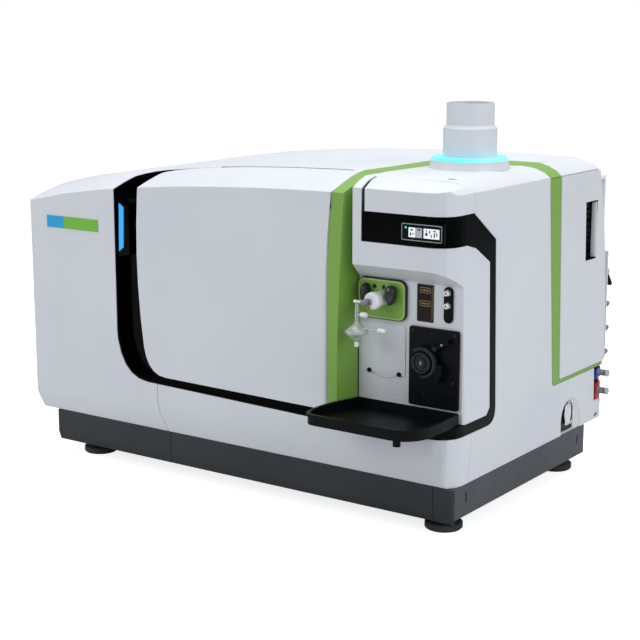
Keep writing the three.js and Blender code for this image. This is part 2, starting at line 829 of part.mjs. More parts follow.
// Door with its wrapped-over hood; a pin below and a pin in a pocket near the top
function mainDoor() {
  const region = doorSpace(0).intersect(leftOfPillar(seamGap)).intersect(hoodLean(seamGap));
  const skin = cut(bodyOuter, body(doorHoodWall, hoodFall));
  const front = box(-farAway * 2, farAway * 2, -farAway, bodyFront + doorThickness, 0, bodyTop + margin);
  const thick = cut(bodyOuter, body(doorThickness, hoodFall)).intersect(front);
  const leaf = join(skin, thick).intersect(region).intersect(swingSpace());
  const pocket = box(
    pivotX - pivotRadius - 4, pivotX + 60, pivotY - pivotRadius - 2.8, pivotY + 60,
    armZ - armHeight / 2 - 1, armZ + armHeight / 2 + 1,
  );
  const low = doorFloorAt(pivotX);
  const lowerPin = rod(pivotRadius, 'z', [pivotX, pivotY, low - pivotLength], pivotLength + 5, 16);
  const upperPin = rod(pivotRadius, 'z', [pivotX, pivotY, armZ - armHeight], armHeight * 2, 16);
  return join(cut(leaf, pocket), lowerPin, upperPin);
}

const pivotX = pillarX - seamGap - pivotInset;
const pivotY = bodyFront + pivotInset;
const armHeight = 10;
const armZ = creaseZ - 36;

const facetWall = 5;

// The facet's outer face at a height and a depth behind the front
function facetAt(z, y) {
  const ridge = pillarRidge(z);
  const valley = Math.max(valleyX, ridge + 3);
  return ridge + (valley - ridge) * (y - bodyFront) / bayDepth;
}

// Green pillar: a face, a facet back to the sampling bay and the strip over the hood
function greenPillar() {
  const skin = cut(bodyOuter, body(6, hoodFall));
  const zs = steps(fasciaFloor, bodyTop + 20, 9);
  const face = prismY([
    ...zs.map((z) => [pillarRidge(z), z]), ...zs.map((z) => [pillarLeft(z), z]).reverse(),
  ], bodyFront - 5, bodyFront + 6);
  const facet = loft(zs.map((z) => {
    const ridge = pillarRidge(z);
    const valley = facetAt(z, bayBackY);
    return [
      [ridge - facetWall, bodyFront, z], [ridge, bodyFront, z],
      [valley, bayBackY, z], [valley - facetWall, bayBackY, z],
    ];
  }));
  const top = prismZ([
    [pillarX + pillarLeanTop, bodyFront - 5], [pillarRidge(bodyTop), bodyFront - 5],
    [pillarRidge(bodyTop) - 1, valleyTopY - 30], [valleyTopX, valleyTopY],
    [bandRightAt(hoodSeam), hoodSeam - 12], [bandRightAt(hoodSeam), hoodSeam],
    [pillarX + 4, hoodSeam], [pillarX + pillarLeanTop, bodyFront],
  ], creaseZ - 30, bodyTop + 20);
  const barrel = rod(pivotRadius + 2, 'z', [pivotX, pivotY, armZ - armHeight / 2], armHeight, 20);
  const reach = pivotY + 28;
  const z0 = armZ - armHeight / 2;
  const arm = box(pivotX - 5, pivotX + 5, pivotY, reach, z0, z0 + armHeight);
  const elbow = box(pivotX - 5, facetAt(armZ, reach - 6) - facetWall / 2, reach - 6, reach, z0,
    z0 + armHeight);
  const bore = rod(pivotRadius + restGap, 'z', [pivotX, pivotY, z0 - 5], armHeight + 10, 20);
  const solid = join(face, facet).intersect(bodyOuter);
  return join(solid, skin.intersect(top), cut(join(barrel, arm, elbow), bore));
}

// Dark channel between the covers and the door, in a left and a lower length
function channel() {
  const reach = recess(-seamGap);
  const under = cut(body(doorThickness + 2, hoodFall), body(doorThickness + 6, hoodFall));
  const floor = cut(under.intersect(reach), doorSpace(-25));
  const rim = cut(reach, recess(-seamGap - 3), doorSpace(seamGap));
  const wall = cut(body(1, hoodFall), body(doorThickness + 6, hoodFall)).intersect(rim);
  const free = rod(doorThickness + 2, 'z', [pivotX, pivotY, doorFloorAt(pivotX) - 1], bodyHeight, 32);
  return cut(join(floor, wall).intersect(leftOfPillar(seamGap)).intersect(hoodLean(seamGap)), free);
}

const channelSplit = rimX + 139;
const lightX = rimX + 18;
const lightZ = bodyMidZ + 171;

function leftChannel() {
  const split = join(
    box(-farAway * 3, channelSplit - seamGap, -farAway, farAway, 0, bodyTop + margin),
    box(-farAway * 3, farAway * 2, -farAway, farAway, bodyMidZ, bodyTop + margin),
  );
  const bezel = prismY([
    [lightX - 6, lightZ - 68], [lightX + 30, lightZ - 60], [lightX + 30, lightZ + 56], [lightX,
      lightZ + 64],
  ], bodyFront + 5, bodyFront + doorThickness + 4);
  return join(channel().intersect(split), bezel);
}

function bottomChannel() {
  const split = box(channelSplit, farAway * 2, -farAway, farAway, 0, bodyMidZ - seamGap);
  const boss = tube(pivotRadius + 4, pivotRadius + restGap, 'z', [pivotX, pivotY, bandZ + 1], 17, 24);
  return join(channel().intersect(split), boss);
}

function statusLight() {
  return prismY([
    [lightX + 1, lightZ - 54], [lightX + 14, lightZ - 44], [lightX + 17, lightZ + 47], [lightX + 4,
      lightZ + 56],
  ], bodyFront + 2.4, bodyFront + 5 - restGap);
}

function labelPlate() {
  const x0 = bodyLeft + 64.5;
  const z0 = bodyTop - 170.8;
  return box(x0, x0 + labelWidth, bodyFront - 1.5, bodyFront - restGap, z0, z0 + labelHeight);
}

function lowerFrontPanel() {
  const ledge = box(pillarX + 3, bodyRight - 12, bodyFront + 2, bayBackY - 1, bandZ - 4, bandZ);
  return join(shellLeft.intersect(lowerPanelRegion(0)), ledge.intersect(bodyOuter));
}

function rightSideCover() {
  const side = prismX(rightSideOutline(), bodyRight - 62, bodyRight + margin, 6);
  const top = prismZ(moduleTopOutline(), bodyTop - 40, bodyTop + margin);
  const cap = prismZ(capOutline(seamGap), 0, bodyTop + margin, 8);
  const capSpace = cap.intersect(box(0, bodyRight + 90, -farAway, farAway, capFloor - 30,
    bodyTop + margin));
  const bandCut = prismZ([
    ...crossFront(-seamGap), [bodyRight + 90, farBack], [pillarX, farBack], [pillarX,
      crossBandFront - seamGap],
  ], bodyFloor + sideBandFloor + 60, bodyTop + margin);
  const beyond = box(0, topEdgeX - crossBandRun, crossBandFront - seamGap, farBack,
    bodyFloor + sideBandFloor + 60, bodyTop + margin);
  const notch = box(bodyRight - 70, bodyRight + margin, noseY, farBack, noseZ,
    bodyFloor + sideBandFloor + 20);
  const slotX = exhaustX + 78;
  const slot = box(slotX - 11, slotX + 11, capSeam + 16, capSeam + 19, bodyTop - 20, bodyTop + 20);
  return cut(
    shellRight.intersect(join(side, top)), capSpace, cut(bandCut, side.intersect(sideOnly())), beyond,
    rearOpening(), exhaustHole(spigotLowerRadius + 1), slot, latchOpening(), notch,
  );
}

function sideOnly() {
  return box(topEdgeX - 1, bodyRight + margin, -farAway, farBack, bodyFloor - 40, creaseZ);
}

const noseY = bodyRear - noseLength;
const noseZ = bodyFloor + noseHeight;
const latchY = bodyRear - latchRearInset;
const latchTop = bodyFloor + 78;

function latchOpening() {
  const half = latchWidth / 2;
  const shape = new THREE.Shape();
  shape.moveTo(latchY - half, bodyFloor - 30);
  shape.lineTo(latchY + half, bodyFloor - 30);
  shape.lineTo(latchY + half, latchTop - half);
  shape.absarc(latchY, latchTop - half, half, 0, Math.PI);
  return prismX(shape, bodyRight - 12, bodyRight + margin, 8);
}

// Rear part of the right side, standing a little proud
function rightRearCover() {
  const skin = cut(body(-rearProud, capFall), body(coverWall - 1, capFall));
  const y0 = crossBandRear + seamGap;
  const z0 = bodyFloor + sideBandFloor + sideBandThin + seamGap;
  const region = box(bodyRight - 90, bodyRight + margin, y0, farBack, z0, creaseZ - seamGap);
  const vent = box(bodyRight - 60, bodyRight + margin, ventY, ventY + ventWidth, ventZ, ventZ + ventHeight);
  return cut(skin.intersect(region), rearOpening(), vent);
}

const ventY = bodyRear - ventRearInset;
const ventZ = bodyMidZ + 95;

function ventGrille() {
  const x1 = bodyRight - 9;
  const y1 = ventY + ventWidth;
  const z1 = ventZ + ventHeight;
  const outer = box(x1 - ventDepth, x1, ventY + 0.7, y1 - 0.7, ventZ + 0.7, z1 - 0.7);
  const pocket = box(x1 - ventDepth + 4, x1 + 20, ventY + 3, y1 - 3, ventZ + 3, z1 - 3);
  const slats = 9;
  const pitch = (ventHeight - 8) / slats;
  const gaps = steps(0, slats - 1, slats - 1).map((i) => {
    const z = ventZ + 5 + i * pitch;
    return box(x1 - 40, x1 + 20, ventY + 5, y1 - 5, z, z + pitch - 3);
  });
  return cut(outer, pocket, ...gaps);
}

function greenTopBand() {
  const region = prismZ(topBandOutline(), creaseZ, bodyTop + margin);
  return shellLeft.intersect(region);
}

function greenSideBand() {
  const z0 = bodyFloor + sideBandFloor;
  const thin = z0 + sideBandThin;
  const shape = new THREE.Shape();
  shape.moveTo(sideBandTopY, creaseZ - seamGap);
  shape.lineTo(sideBandFootY, z0 + 12);
  shape.quadraticCurveTo(sideBandFootY, z0, sideBandFootY + 12, z0);
  shape.lineTo(bodyRear + margin, z0);
  shape.lineTo(bodyRear + margin, thin);
  shape.lineTo(crossBandRear, thin);
  shape.lineTo(crossBandRear, creaseZ - seamGap);
  const region = prismX(shape, bodyRight - 62, bodyRight + margin, 6);
  return cut(shellRight.intersect(region), rearOpening());
}

// Fascia of the sampling bay: a brow over a plate set back, with the strip beside the cap
function fascia() {
  const wall = fasciaWall;
  const floor = fasciaFloor;
  const slope = browSlopeDrop / bayDepth;
  const browAt = (y) => browFloor - (y - bodyFront) * slope;
  const side = (shift, up) => prismX([
    [bodyFront - margin, displayFloor - seamGap + up], [bodyFront - margin,
      browAt(bodyFront - margin) + shift * 1.18],
    [bayBackY + shift, browAt(bayBackY) + shift * 1.18], [bayBackY + shift, floor - up],
    [columnRear - seamGap - 14 + up, floor - up], [columnRear - seamGap + up, floor + 14 - up],
    [columnRear - seamGap + up, browFloor + 4 + up],
    [capSideSeam + 4, displayFloor - 10 + up], [60, displayFloor - seamGap + up],
  ], 0, bodyRight + margin);
  const left = (shift) => prismZ([
    [stripLeft + shift, bodyFront - 80], [stripLeft + shift, bodyFront],
    [valleyX + 2 + shift, bayBackY], [valleyX + 2 + shift, farAway], [bodyRight + margin, farAway],
    [bodyRight + margin, bodyFront - 80],
  ], 0, bodyTop + margin);
  const stripEnd = pillarX + capLeft - capGap;
  const strip = (shift) => prismZ([
    [stripLeft + shift, bodyFront - 80], [stripEnd + shift, bodyFront - 80], [stripEnd + shift,
      bodyFront + 2],
    [stripEnd - 17 + shift, capSeam - 30], [stripEnd - 20 + shift, capSeam - 2 + shift],
    [valleyTopX + 1 + shift, capSeam - 2 + shift],
    [valleyTopX + 10 + shift, capSeam - 40], [stripLeft + shift, bodyFront],
  ], displayFloor - 20, bodyTop + margin);
  const corner = new THREE.Shape();
  corner.moveTo(bodyRight - 10, bayBackY - 1);
  corner.quadraticCurveTo(bodyRight - 2, bayBackY + 2, bodyRight - 1, bayBackY + 12);
  corner.lineTo(bodyRight + 20, bayBackY + 12);
  corner.lineTo(bodyRight + 20, bayBackY - 1);
  const rounded = prismZ(corner, floor - 30, browFloor - 20, 5);
  const outer = join(side(0, 0).intersect(left(0)), strip(0)).intersect(moduleOuter);
  const inner = join(side(wall, 40).intersect(left(wall)), strip(wall)).intersect(moduleWall);
  const holes = [
    rod(27, 'y', [capX, bayBackY - 20, capZ], 60, 32),
    rod(9, 'y', [rotorX, bayBackY - 20, rotorZ], 60, 20),
  ];
  return cut(outer, inner, rounded, ...holes);
}

const plateX = pillarX + 47;
const plateZ = bayRoof - roofGap - plateHeight;
const capX = plateX + plateWidth / 2;
const capZ = plateZ + 42;
const portX = bodyRight - 52;
const pumpX0 = bodyRight - 130;
const pumpX1 = bodyRight - 14;
const pumpZ0 = fasciaFloor + pumpRise;
const pumpZ1 = plateZ - 7;
const rotorX = pumpX0 + 39.5;
const rotorZ = (pumpZ0 + pumpZ1) / 2 + 12;
const leverX = pumpX0 + 67;
const leverZ = rotorZ + 0.195 * (pumpZ1 - pumpZ0);

// Cap over the display
function visorCap() {
  const region = prismZ(capOutline(0), capFloor, bodyTop + margin, 8);
  return cut(moduleOuter, body(5, capFall)).intersect(region);
}

// Black glossy band: round the front and tapering down the side
function displayBezel() {
  const left = pillarX + capLeft - capGap + seamGap;
  const region = prismX([
    [bodyFront - 80, displayFloor], [60, displayFloor], [capSideSeam + 4, displayFloor - 9],
    [columnRear, browFloor + 4], [columnRear, bezelSplit], [stripOuter, bezelSplit],
    [stripOuter, displayFloor - 2], [capSideSeam, capFloor - 2.6], [capSideSeam - 1, capFloor - seamGap],
    [bodyFront - 80, capFloor - seamGap],
  ], left, bodyRight + margin);
  const skin = cut(body(1, capFall), body(6, capFall)).intersect(region);
  const pad = box(
    screenX - 4, screenX + screenWidth + 4, bodyFront - 0.2, bodyFront + 8,
    screenZ - 4, screenZ + screenHeight + 4,
  );
  return join(skin, pad);
}

const bezelSplit = browFloor - 6;
const screenX = bodyRight - 119;
const screenZ = displayFloor + 12;

function displayScreen() {
  const y1 = bodyFront - 0.2 - restGap;
  return box(screenX, screenX + screenWidth, y1 - 1.2, y1, screenZ, screenZ + screenHeight);
}

function edgeStrip() {
  const corner = 34;
  const z0 = bandZ + seamGap;
  const z1 = fasciaFloor - seamGap;
  const shape = new THREE.Shape();
  shape.moveTo(bodyFront - 80, z0);
  shape.lineTo(stripOuter - corner, z0);
  shape.quadraticCurveTo(stripOuter, z0, stripOuter, z0 + corner);
  shape.lineTo(stripOuter, bezelSplit - seamGap);
  shape.lineTo(columnRear, bezelSplit - seamGap);
  shape.lineTo(columnRear, z1 + 15);
  shape.lineTo(columnRear - 15, z1);
  shape.lineTo(bodyFront - 80, z1);
  const region = prismX(shape, pillarX + seamGap, bodyRight + margin, 6);
  return cut(body(1, capFall), body(6, capFall)).intersect(region);
}

// Torch mount and what stands on it
const plateFront = bayBackY - plateThickness;

function torchMountPlate() {
  const shape = roundedRect(plateX, plateX + plateWidth, plateZ, plateZ + plateHeight, 15);
  const plate = prismY(shape, plateFront, bayBackY - restGap, 5);
  const sight = [40, 62].map((x) => rod(2.6, 'y', [plateX + x, plateFront - 5, plateZ + 66], 30, 12));
  const bore = rod(16 + restGap, 'y', [capX, plateFront - 5, capZ], 30, 32);
  const sockets = [knobLeftX, knobRightX].map((x) => rod(4 + restGap, 'y', [x, plateFront - 5, knobZ],
    11, 16));
  return cut(plate, ...sight, bore, ...sockets);
}

const knobLeftX = plateX + 24;
const knobRightX = plateX + 86;
const knobZ = plateZ + 53;

function knob(x, wide, tall) {
  const y1 = plateFront - 0.6;
  const shape = new THREE.Shape();
  shape.absellipse(x, knobZ, wide / 2, tall / 2, 0, Math.PI * 2);
  const face = new THREE.Shape();
  face.absellipse(x, knobZ + 1, wide / 2 - 5, tall / 2 - 6, 0, Math.PI * 2);
  const grip = prismY(shape, y1 - 12, y1, 6);
  const lift = prismY(face, y1 - knobDepth, y1, 6);
  return join(grip, lift, rod(4, 'y', [x, y1 - 2, knobZ], 6.5, 16));
}

function injectorEndCap() {
  const front = bodyFront + 6;
  return turned([
    [0, 0], [15, 0], [18, 3], [18, 15], [16, 17],
    [16, bayBackY + 3 - front], [0, bayBackY + 3 - front],
  ], 'y', [capX, front, capZ], 24);
}

function nebulizer() {
  const x = capX - 11;
  const y1 = bodyFront + 6 - restGap;
  const stem = turned([
    [0, 0], [3, 0], [3, 8], [6, 10], [6, 22], [0, 22],
  ], 'y', [x, y1 - 22, capZ - 2], 16);
  const arm = rod(3.4, 'x', [x - 24, y1 - 8, capZ - 2], 22, 12);
  return join(stem, arm);
}

// Cyclonic spray chamber hanging below the nebulizer
function sprayChamber() {
  const x = capX - 28;
  const y = bodyFront - 2.5;
  const mid = capZ - 65;
  const top = capZ - 2 - 3.4 - restGap;
  const bowl = turned([
    [0, -31], [4, -30], [4, -18], [24.5, -3], [24.5, 3], [5, 19], [4, 21], [4, top - mid], [0, top - mid],
  ], 'z', [x, y, mid], 24);
  const caps = [
    rod(5.5, 'x', [x + 10, y, mid + 37], 14, 14),
    rod(4.5, 'x', [x + 52, y, mid + 9], 16, 14),
  ];
  const arms = [
    rod(3, 'x', [x, y, mid + 37], 12, 12),
    rod(2.6, 'x', [x + 4, y, mid + 9], 50, 12),
  ];
  return join(bowl, ...arms, ...caps);
}

function indicatorPanel() {
  const x = (plateX + plateWidth + portX) / 2;
  const y1 = bayBackY - restGap;
  const z1 = bayRoof - roofGap - 2;
  return box(x - indicatorWidth / 2, x + indicatorWidth / 2, y1 - 1.3, y1, z1 - indicatorHeight, z1);
}

// Gas port plate with two nipples
function sampleGasPorts() {
  const y1 = bayBackY - restGap;
  const z0 = bayRoof - roofGap - portHeight;
  const plate = prismY(roundedRect(portX, portX + portWidth, z0, z0 + portHeight, 9), y1 - 2, y1, 5);
  const nipples = [34, 58].map((z) => turned([
    [0, 0], [3, 0], [5, 3], [3.5, 4], [3.5, 9], [6, 9], [6, 12], [0, 12],
  ], 'y', [portX + portWidth / 2, y1 - 13, z0 + z], 12));
  return join(plate, ...nipples);
}

// Peristaltic pump: plate with a tube shoe, rotor and clamp lever
function pumpPlate() {
  const y1 = bayBackY - restGap;
  const plate = prismY(roundedRect(pumpX0, pumpX1, pumpZ0, pumpZ1, 5), y1 - 6, y1, 3);
  const body = prismY(shoeOutline(), y1 - 22, y1 - 4, 6);
  const bore = rod(6 + restGap, 'y', [rotorX, y1 - 40, rotorZ], 60, 20);
  const pin = rod(4 + restGap, 'y', [leverX, y1 - 40, leverZ], 60, 16);
  return cut(join(plate, body), bore, pin);
}

function shoeOutline() {
  const inner = rotorRadius + 4;
  const shoe = new THREE.Shape();
  shoe.moveTo(rotorX + inner, rotorZ);
  shoe.absarc(rotorX, rotorZ, inner, 0, -Math.PI / 2, true);
  shoe.lineTo(rotorX, rotorZ - inner - 12);
  shoe.lineTo(rotorX + 36, rotorZ - inner - 12);
  shoe.lineTo(rotorX + 46, rotorZ - 20);
  shoe.lineTo(rotorX + 46, rotorZ);
  return shoe;
}

function pumpRotor() {
  const y1 = bayBackY - restGap - 6.6;
  const outer = rod(rotorRadius, 'y', [rotorX, y1 - rotorDepth, rotorZ], rotorDepth, 32);
  const dish = tube(rotorRadius - 5, 9, 'y', [rotorX, y1 - rotorDepth - 2, rotorZ], 5, 28);
  return join(cut(outer, dish), rod(6, 'y', [rotorX, y1 - 2, rotorZ], 16, 16));
}

function pumpClampLever() {
  const y1 = bayBackY - restGap - 6.6;
  const boss = rod(7, 'y', [leverX, y1 - 12, leverZ], 12, 18);
  const pin = rod(4, 'y', [leverX, y1 - 2, leverZ], 8, 16);
  const bar = new THREE.BoxGeometry(36, 8, 8);
  bar.translate(17, 0, 0);
  bar.rotateY(-0.51);
  bar.translate(leverX, y1 - 7, leverZ);
  return join(boss, pin, solidOf(bar));
}

function servicePanel() {
  const x0 = plateX + 3;
  const y1 = bayBackY - restGap;
  const z0 = pumpZ0 + 0.33 * (pumpZ1 - pumpZ0);
  return prismY(roundedRect(x0, pumpX0 - 12, z0, pumpZ1 - 3, 6), y1 - 1.4, y1, 4);
}

// Drip tray with a drain spout under its front right corner
function dripTray() {
  const floor = fasciaFloor - 0.1;
  const height = trayHeight;
  const outline = (inset) => {
    const left = pillarX + 22 + inset;
    const right = bodyRight - 11 - inset;
    const front = bayBackY - trayDepth + inset;
    const rear = bayBackY - 0.7 - inset;
    const shape = new THREE.Shape();
    shape.moveTo(valleyX + 2 + inset, rear);
    shape.lineTo(left + 6, bodyFront - 4);
    shape.quadraticCurveTo(left - 5, bodyFront - 50, left + 2, front + 26);
    shape.quadraticCurveTo(left + 5, front, left + 30, front);
    shape.lineTo(right - 62, front);
    shape.quadraticCurveTo(right - 4, front, right, front + 62);
    shape.lineTo(right, rear - 6);
    shape.lineTo(right - 6, rear);
    return shape;
  };
  const tray = cut(prismZ(outline(0), floor, floor + height, 6), prismZ(outline(trayWall),
    floor + trayWall, floor + margin, 6));
  const lip = cut(prismZ(outline(-2), floor + height - 4, floor + height, 6), prismZ(outline(1), 0,
    farBack, 6));
  const front = box(0, bodyRight + margin, -farAway, bodyFront - 6, 0, farBack);
  const x = bodyRight - 71;
  const y = bayBackY - trayDepth + 32;
  const spout = rod(spoutRadius, 'z', [x, y, floor - 20], 22, 18);
  const drain = rod(5, 'z', [x, y, floor - 40], 80, 16);
  return cut(join(tray, lip.intersect(front), spout), drain);
}

// Exhaust: collar with a stepped spigot, and the lit ring round it
function exhaustSpigot() {
  const low = -26;
  return turned([
    [exhaustBore, low], [spigotLowerRadius, low], [spigotLowerRadius, 0], [flangeRadius - 3, 0],
    [flangeRadius, 3], [flangeRadius, flangeHeight], [spigotLowerRadius, flangeHeight],
    [spigotLowerRadius, flangeHeight + spigotStep], [spigotRadius, flangeHeight + spigotStep + 7],
    [spigotRadius, flangeHeight + spigotHeight], [spigotRadius - spigotWall, flangeHeight + spigotHeight],
    [exhaustBore, flangeHeight + spigotStep - 4], [exhaustBore, low],
  ], 'z', [exhaustX, exhaustY, bodyTop + restGap], 36);
}

function glowRing() {
  const z = bodyTop + flangeHeight + restGap * 2;
  return turned([
    [spigotLowerRadius + restGap, 0], [flangeRadius - 1, 0], [flangeRadius - 4, glowHeight],
    [spigotLowerRadius + restGap, glowHeight], [spigotLowerRadius + restGap, 0],
  ], 'z', [exhaustX, exhaustY, z], 36);
}

// Rear fittings
const manifoldX = bodyRight - 14;
const handleZ1 = creaseZ - 17.8;
const handleZ0 = handleZ1 - handleLength;
const manifoldZ0 = bodyFloor + sideBandFloor + 13.2;
const manifoldZ1 = handleZ0 - 20;
const valveY = bodyRear + rearProud + restGap + 12;
const valveZ = manifoldZ1 - 50;

function gasManifold() {
  const y0 = bodyRear + rearProud + restGap;
  const plate = box(manifoldX - 12, manifoldX + 12, y0, y0 + 4, manifoldZ0, manifoldZ1);
  const zs = [0.04, 0.266, 0.492].map((t) => manifoldZ0 + t * (manifoldZ1 - manifoldZ0));
  const nipples = zs.map((z) => turned([
    [0, 0], [9, 0], [9, 10], [5, 10], [5, 22], [6.5, 22], [5, 27], [6.5, 27], [4.5, nippleLength],
    [0, nippleLength],
  ], 'y', [manifoldX, y0 + 3, z], 12));
  const ears = [-9, 5].map((x) => box(manifoldX + x, manifoldX + x + 4, y0, y0 + 20, valveZ - 7,
    valveZ + 7));
  const pin = rod(2.5 + restGap, 'x', [manifoldX - 20, valveY, valveZ], 40, 14);
  return join(plate, ...nipples, cut(join(...ears), pin));
}

function rearLever() {
  const arm = new THREE.BoxGeometry(8, 8, 42);
  arm.translate(0, 0, -21);
  arm.rotateX(0.6);
  arm.translate(manifoldX, valveY, valveZ);
  const boss = rod(6, 'x', [manifoldX - 4.5, valveY, valveZ], 9, 18);
  const pin = rod(2.5, 'x', [manifoldX - 10, valveY, valveZ], 20, 14);
  return join(solidOf(arm), boss, pin);
}

function rearHandle() {
  const y0 = bodyRear + rearProud + restGap;
  const x0 = bodyRight - 38;
  const plate = box(x0, x0 + handleWidth, y0, y0 + 5, handleZ0, handleZ1);
  const rails = [handleZ0, handleZ1 - 8].map((z) => box(x0, x0 + handleWidth, y0 - handleDepth, y0 + 2,
    z, z + 8));
  return cut(join(plate, ...rails), body(-restGap, hoodFall));
}

const connectorSplit = noseZ + connectorRed + connectorGap;

function waterConnector(z0, z1) {
  const x1 = bodyRight - 1;
  const y = noseY + 18;
  const mid = (z0 + z1) / 2;
  const block = box(x1 - 22, x1, y - 14, y + 14, z0, z1);
  const barb = turned([
    [0, 0], [8.5, 0], [8.5, 4], [6.5, 5], [6.5, 20], [8.5, 21], [8.5, 27], [0, 27],
  ], 'x', [x1 - 1, y, mid], 18);
  return join(block, barb);
}

// Inside: floor, shelf and bulkheads in one welded frame
const innerFloor = bodyFloor;
const shelfZ = capZ - 86;
const coilY = bayBackY + 150;

function innerFrame() {
  const wall = frameWall;
  const x0 = bodyLeft + 40;
  const x1 = bodyRight - 13;
  const y0 = 20;
  const y1 = plinthDepth + 30;
  const floor = box(x0, x1, y0, y1 + 38, innerFloor, innerFloor + wall);
  const bulkhead = box(pillarX - 14, pillarX - 14 + wall, 60, y1, innerFloor, bodyTop - 60);
  const shelf = box(pillarX - 14, x1, stripOuter + 3, y1, shelfZ, shelfZ + wall);
  const bench = box(pillarX + 52, torchBoxX1, 60, y1, shelfZ, shelfZ + wall);
  const post = box(x1 - wall, x1, 240, y1, innerFloor, shelfZ + wall);
  const leftWall = box(x0 + 10, x0 + 10 + wall, 90, y1, innerFloor, shelfZ + wall);
  const window = box(
    pillarX - 40, pillarX + 40, chamberFront - 6, chamberFront + chamberDepth + 6, shelfZ + wall,
      chamberZ1 + 6,
  );
  const coilSlot = box(capX - 24, capX + 24, coilY - 18, coilY + 42, shelfZ - 20, shelfZ + 20);
  return cut(join(floor, bulkhead, shelf, bench, post, leftWall), window, coilSlot);
}

// Torch box: open to the coil below, to the exhaust above and to the cones behind
const torchBoxZ = shelfZ + frameWall + restGap;
const torchBoxX1 = bodyRight - 75;
const coneFront = chamberFront - 30;

function torchBox() {
  const x0 = pillarX + 54;
  const x1 = torchBoxX1;
  const y0 = bayBackY + fasciaWall + restGap;
  const y1 = coneFront + 10;
  const z1 = bodyTop - 48;
  const outer = box(x0, x1, y0, y1, torchBoxZ, z1);
  const inner = box(x0 + 3, x1 - 3, y0 + 3, y1 - 3, torchBoxZ + 3, z1 - 3);
  const front = rod(20, 'y', [capX, y0 - 10, capZ], 40, 28);
  const rear = rod(36, 'y', [capX, y1 - 20, capZ], 40, 32);
  const flue = rod(exhaustBore - 1, 'z', [exhaustX, y1 - exhaustBore - 14, z1 - 20], 60, 32);
  const floor = box(capX - 22, capX + 22, coilY - 16, coilY + 40, torchBoxZ - 10, torchBoxZ + 20);
  return cut(outer, inner, front, rear, flue, floor);
}

function plasmaTorch() {
  const y0 = bayBackY + 3 + restGap;
  const long = torchLength;
  return turned([
    [0, 0], [16, 0], [16, 26], [10, 30], [10, long], [8.5, long], [8.5, 60], [6, 58],
    [6, long - 25], [4.8, long - 25], [4.8, 50], [2, 48], [2, long - 40], [0, long - 40],
  ], 'y', [capX, y0, capZ], 20);
}

// Three turns of copper tube round the torch's end, with both leads going down
function loadCoil() {
  const radius = 15;
  const pitch = coilPitch;
  const turns = coilTurns;
  const y0 = coilY;
  const points = [];
  points.push(new THREE.Vector3(capX + radius, y0, shelfZ - 30));
  points.push(new THREE.Vector3(capX + radius, y0, shelfZ + 30));
  steps(0, turns, turns * 8).forEach((t) => {
    const angle = 2 * Math.PI * t;
    points.push(new THREE.Vector3(capX + radius * Math.cos(angle), y0 + pitch * t,
      capZ + radius * Math.sin(angle)));
  });
  points.push(new THREE.Vector3(capX + radius, y0 + pitch * turns, shelfZ + 30));
  points.push(new THREE.Vector3(capX + radius, y0 + pitch * turns, shelfZ - 30));
  const path = new THREE.CatmullRomCurve3(points, false, 'centripetal');
  const ring = new THREE.Shape();
  ring.absarc(0, 0, 1.6, 0, Math.PI * 2);
  return fixed(new THREE.ExtrudeGeometry(ring, { steps: 64, extrudePath: path, curveSegments: 3 }));
}

const chamberX0 = bodyLeft + 150;
const chamberX1 = capX + 86.5;
const chamberZ1 = capZ + 80;

// Cones between the torch and the vacuum chamber
function coneInterface() {
  const deep = chamberFront - restGap - coneFront;
  return turned([
    [1, 0], [9, 12], [34, 14], [34, deep - 6], [62, deep - 6],
    [62, deep], [30, deep], [24, 20], [1, 6], [1, 0],
  ], 'y', [capX, coneFront, capZ], 32);
}

function vacuumChamber() {
  const y1 = chamberFront + chamberDepth;
  const outer = box(chamberX0, chamberX1, chamberFront, y1, chamberZ0, chamberZ1);
  const inner = box(
    chamberX0 - 20, chamberX1 - chamberWall, chamberFront + chamberWall, y1 - chamberWall,
    chamberZ0 + chamberWall, chamberZ1 - chamberWall,
  );
  const port = rod(30, 'y', [capX, chamberFront - 10, capZ], 40, 28);
  const pumping = rod(50, 'z', [turboX, chamberFront + chamberDepth / 2, chamberZ0 - 10], 40, 32);
  return cut(outer, inner, port, pumping);
}

const chamberZ0 = shelfZ + frameWall + restGap;
const turboX = chamberX0 + turboInset;

function turboPump() {
  const long = chamberZ0 - restGap - (innerFloor + frameWall + restGap);
  return turned([
    [0, 0], [56, 0], [56, 70], [48, 74], [48, long - 30], [68, long - 28], [68, long - 10], [62, long],
    [42, long], [42, long - 24], [0, long - 24],
  ], 'z', [turboX, chamberFront + chamberDepth / 2, innerFloor + frameWall + restGap], 24);
}

// Four rods in two ceramic collars
function quadrupole() {
  const y = chamberFront + chamberDepth / 2;
  const z = chamberZ0 + chamberWall + restGap + 40;
  const x0 = turboX + 70;
  const x1 = pillarX - 20;
  const apart = 15;
  const rods = [0, 1, 2, 3].map((i) => {
    const angle = (i + 0.5) * Math.PI / 2;
    return rod(8, 'x', [x0, y + apart * Math.cos(angle), z + apart * Math.sin(angle)], x1 - x0, 12);
  });
  const collars = [x0 + 20, x1 - 40].map((x) => cut(
    box(x, x + 20, y - 40, y + 40, z - 40, z + 34),
    rod(14, 'x', [x - 5, y, z], 30, 20),
  ));
  return join(...rods, ...collars);
}

// A sheet-metal case with a row of vents in its rear wall
function vented(x0, x1, y0, y1, z0, z1) {
  const wall = 3;
  const outer = box(x0, x1, y0, y1, z0, z1);
  const inner = box(x0 + wall, x1 - wall, y0 + wall, y1 - wall, z0 + wall, z1 - wall);
  const vents = steps(0.15, 0.75, 4).map((t) => {
    const x = x0 + t * (x1 - x0);
    return box(x, x + 10, y1 - 20, y1 + 20, z0 + 30, z1 - 30);
  });
  return cut(outer, inner, ...vents);
}

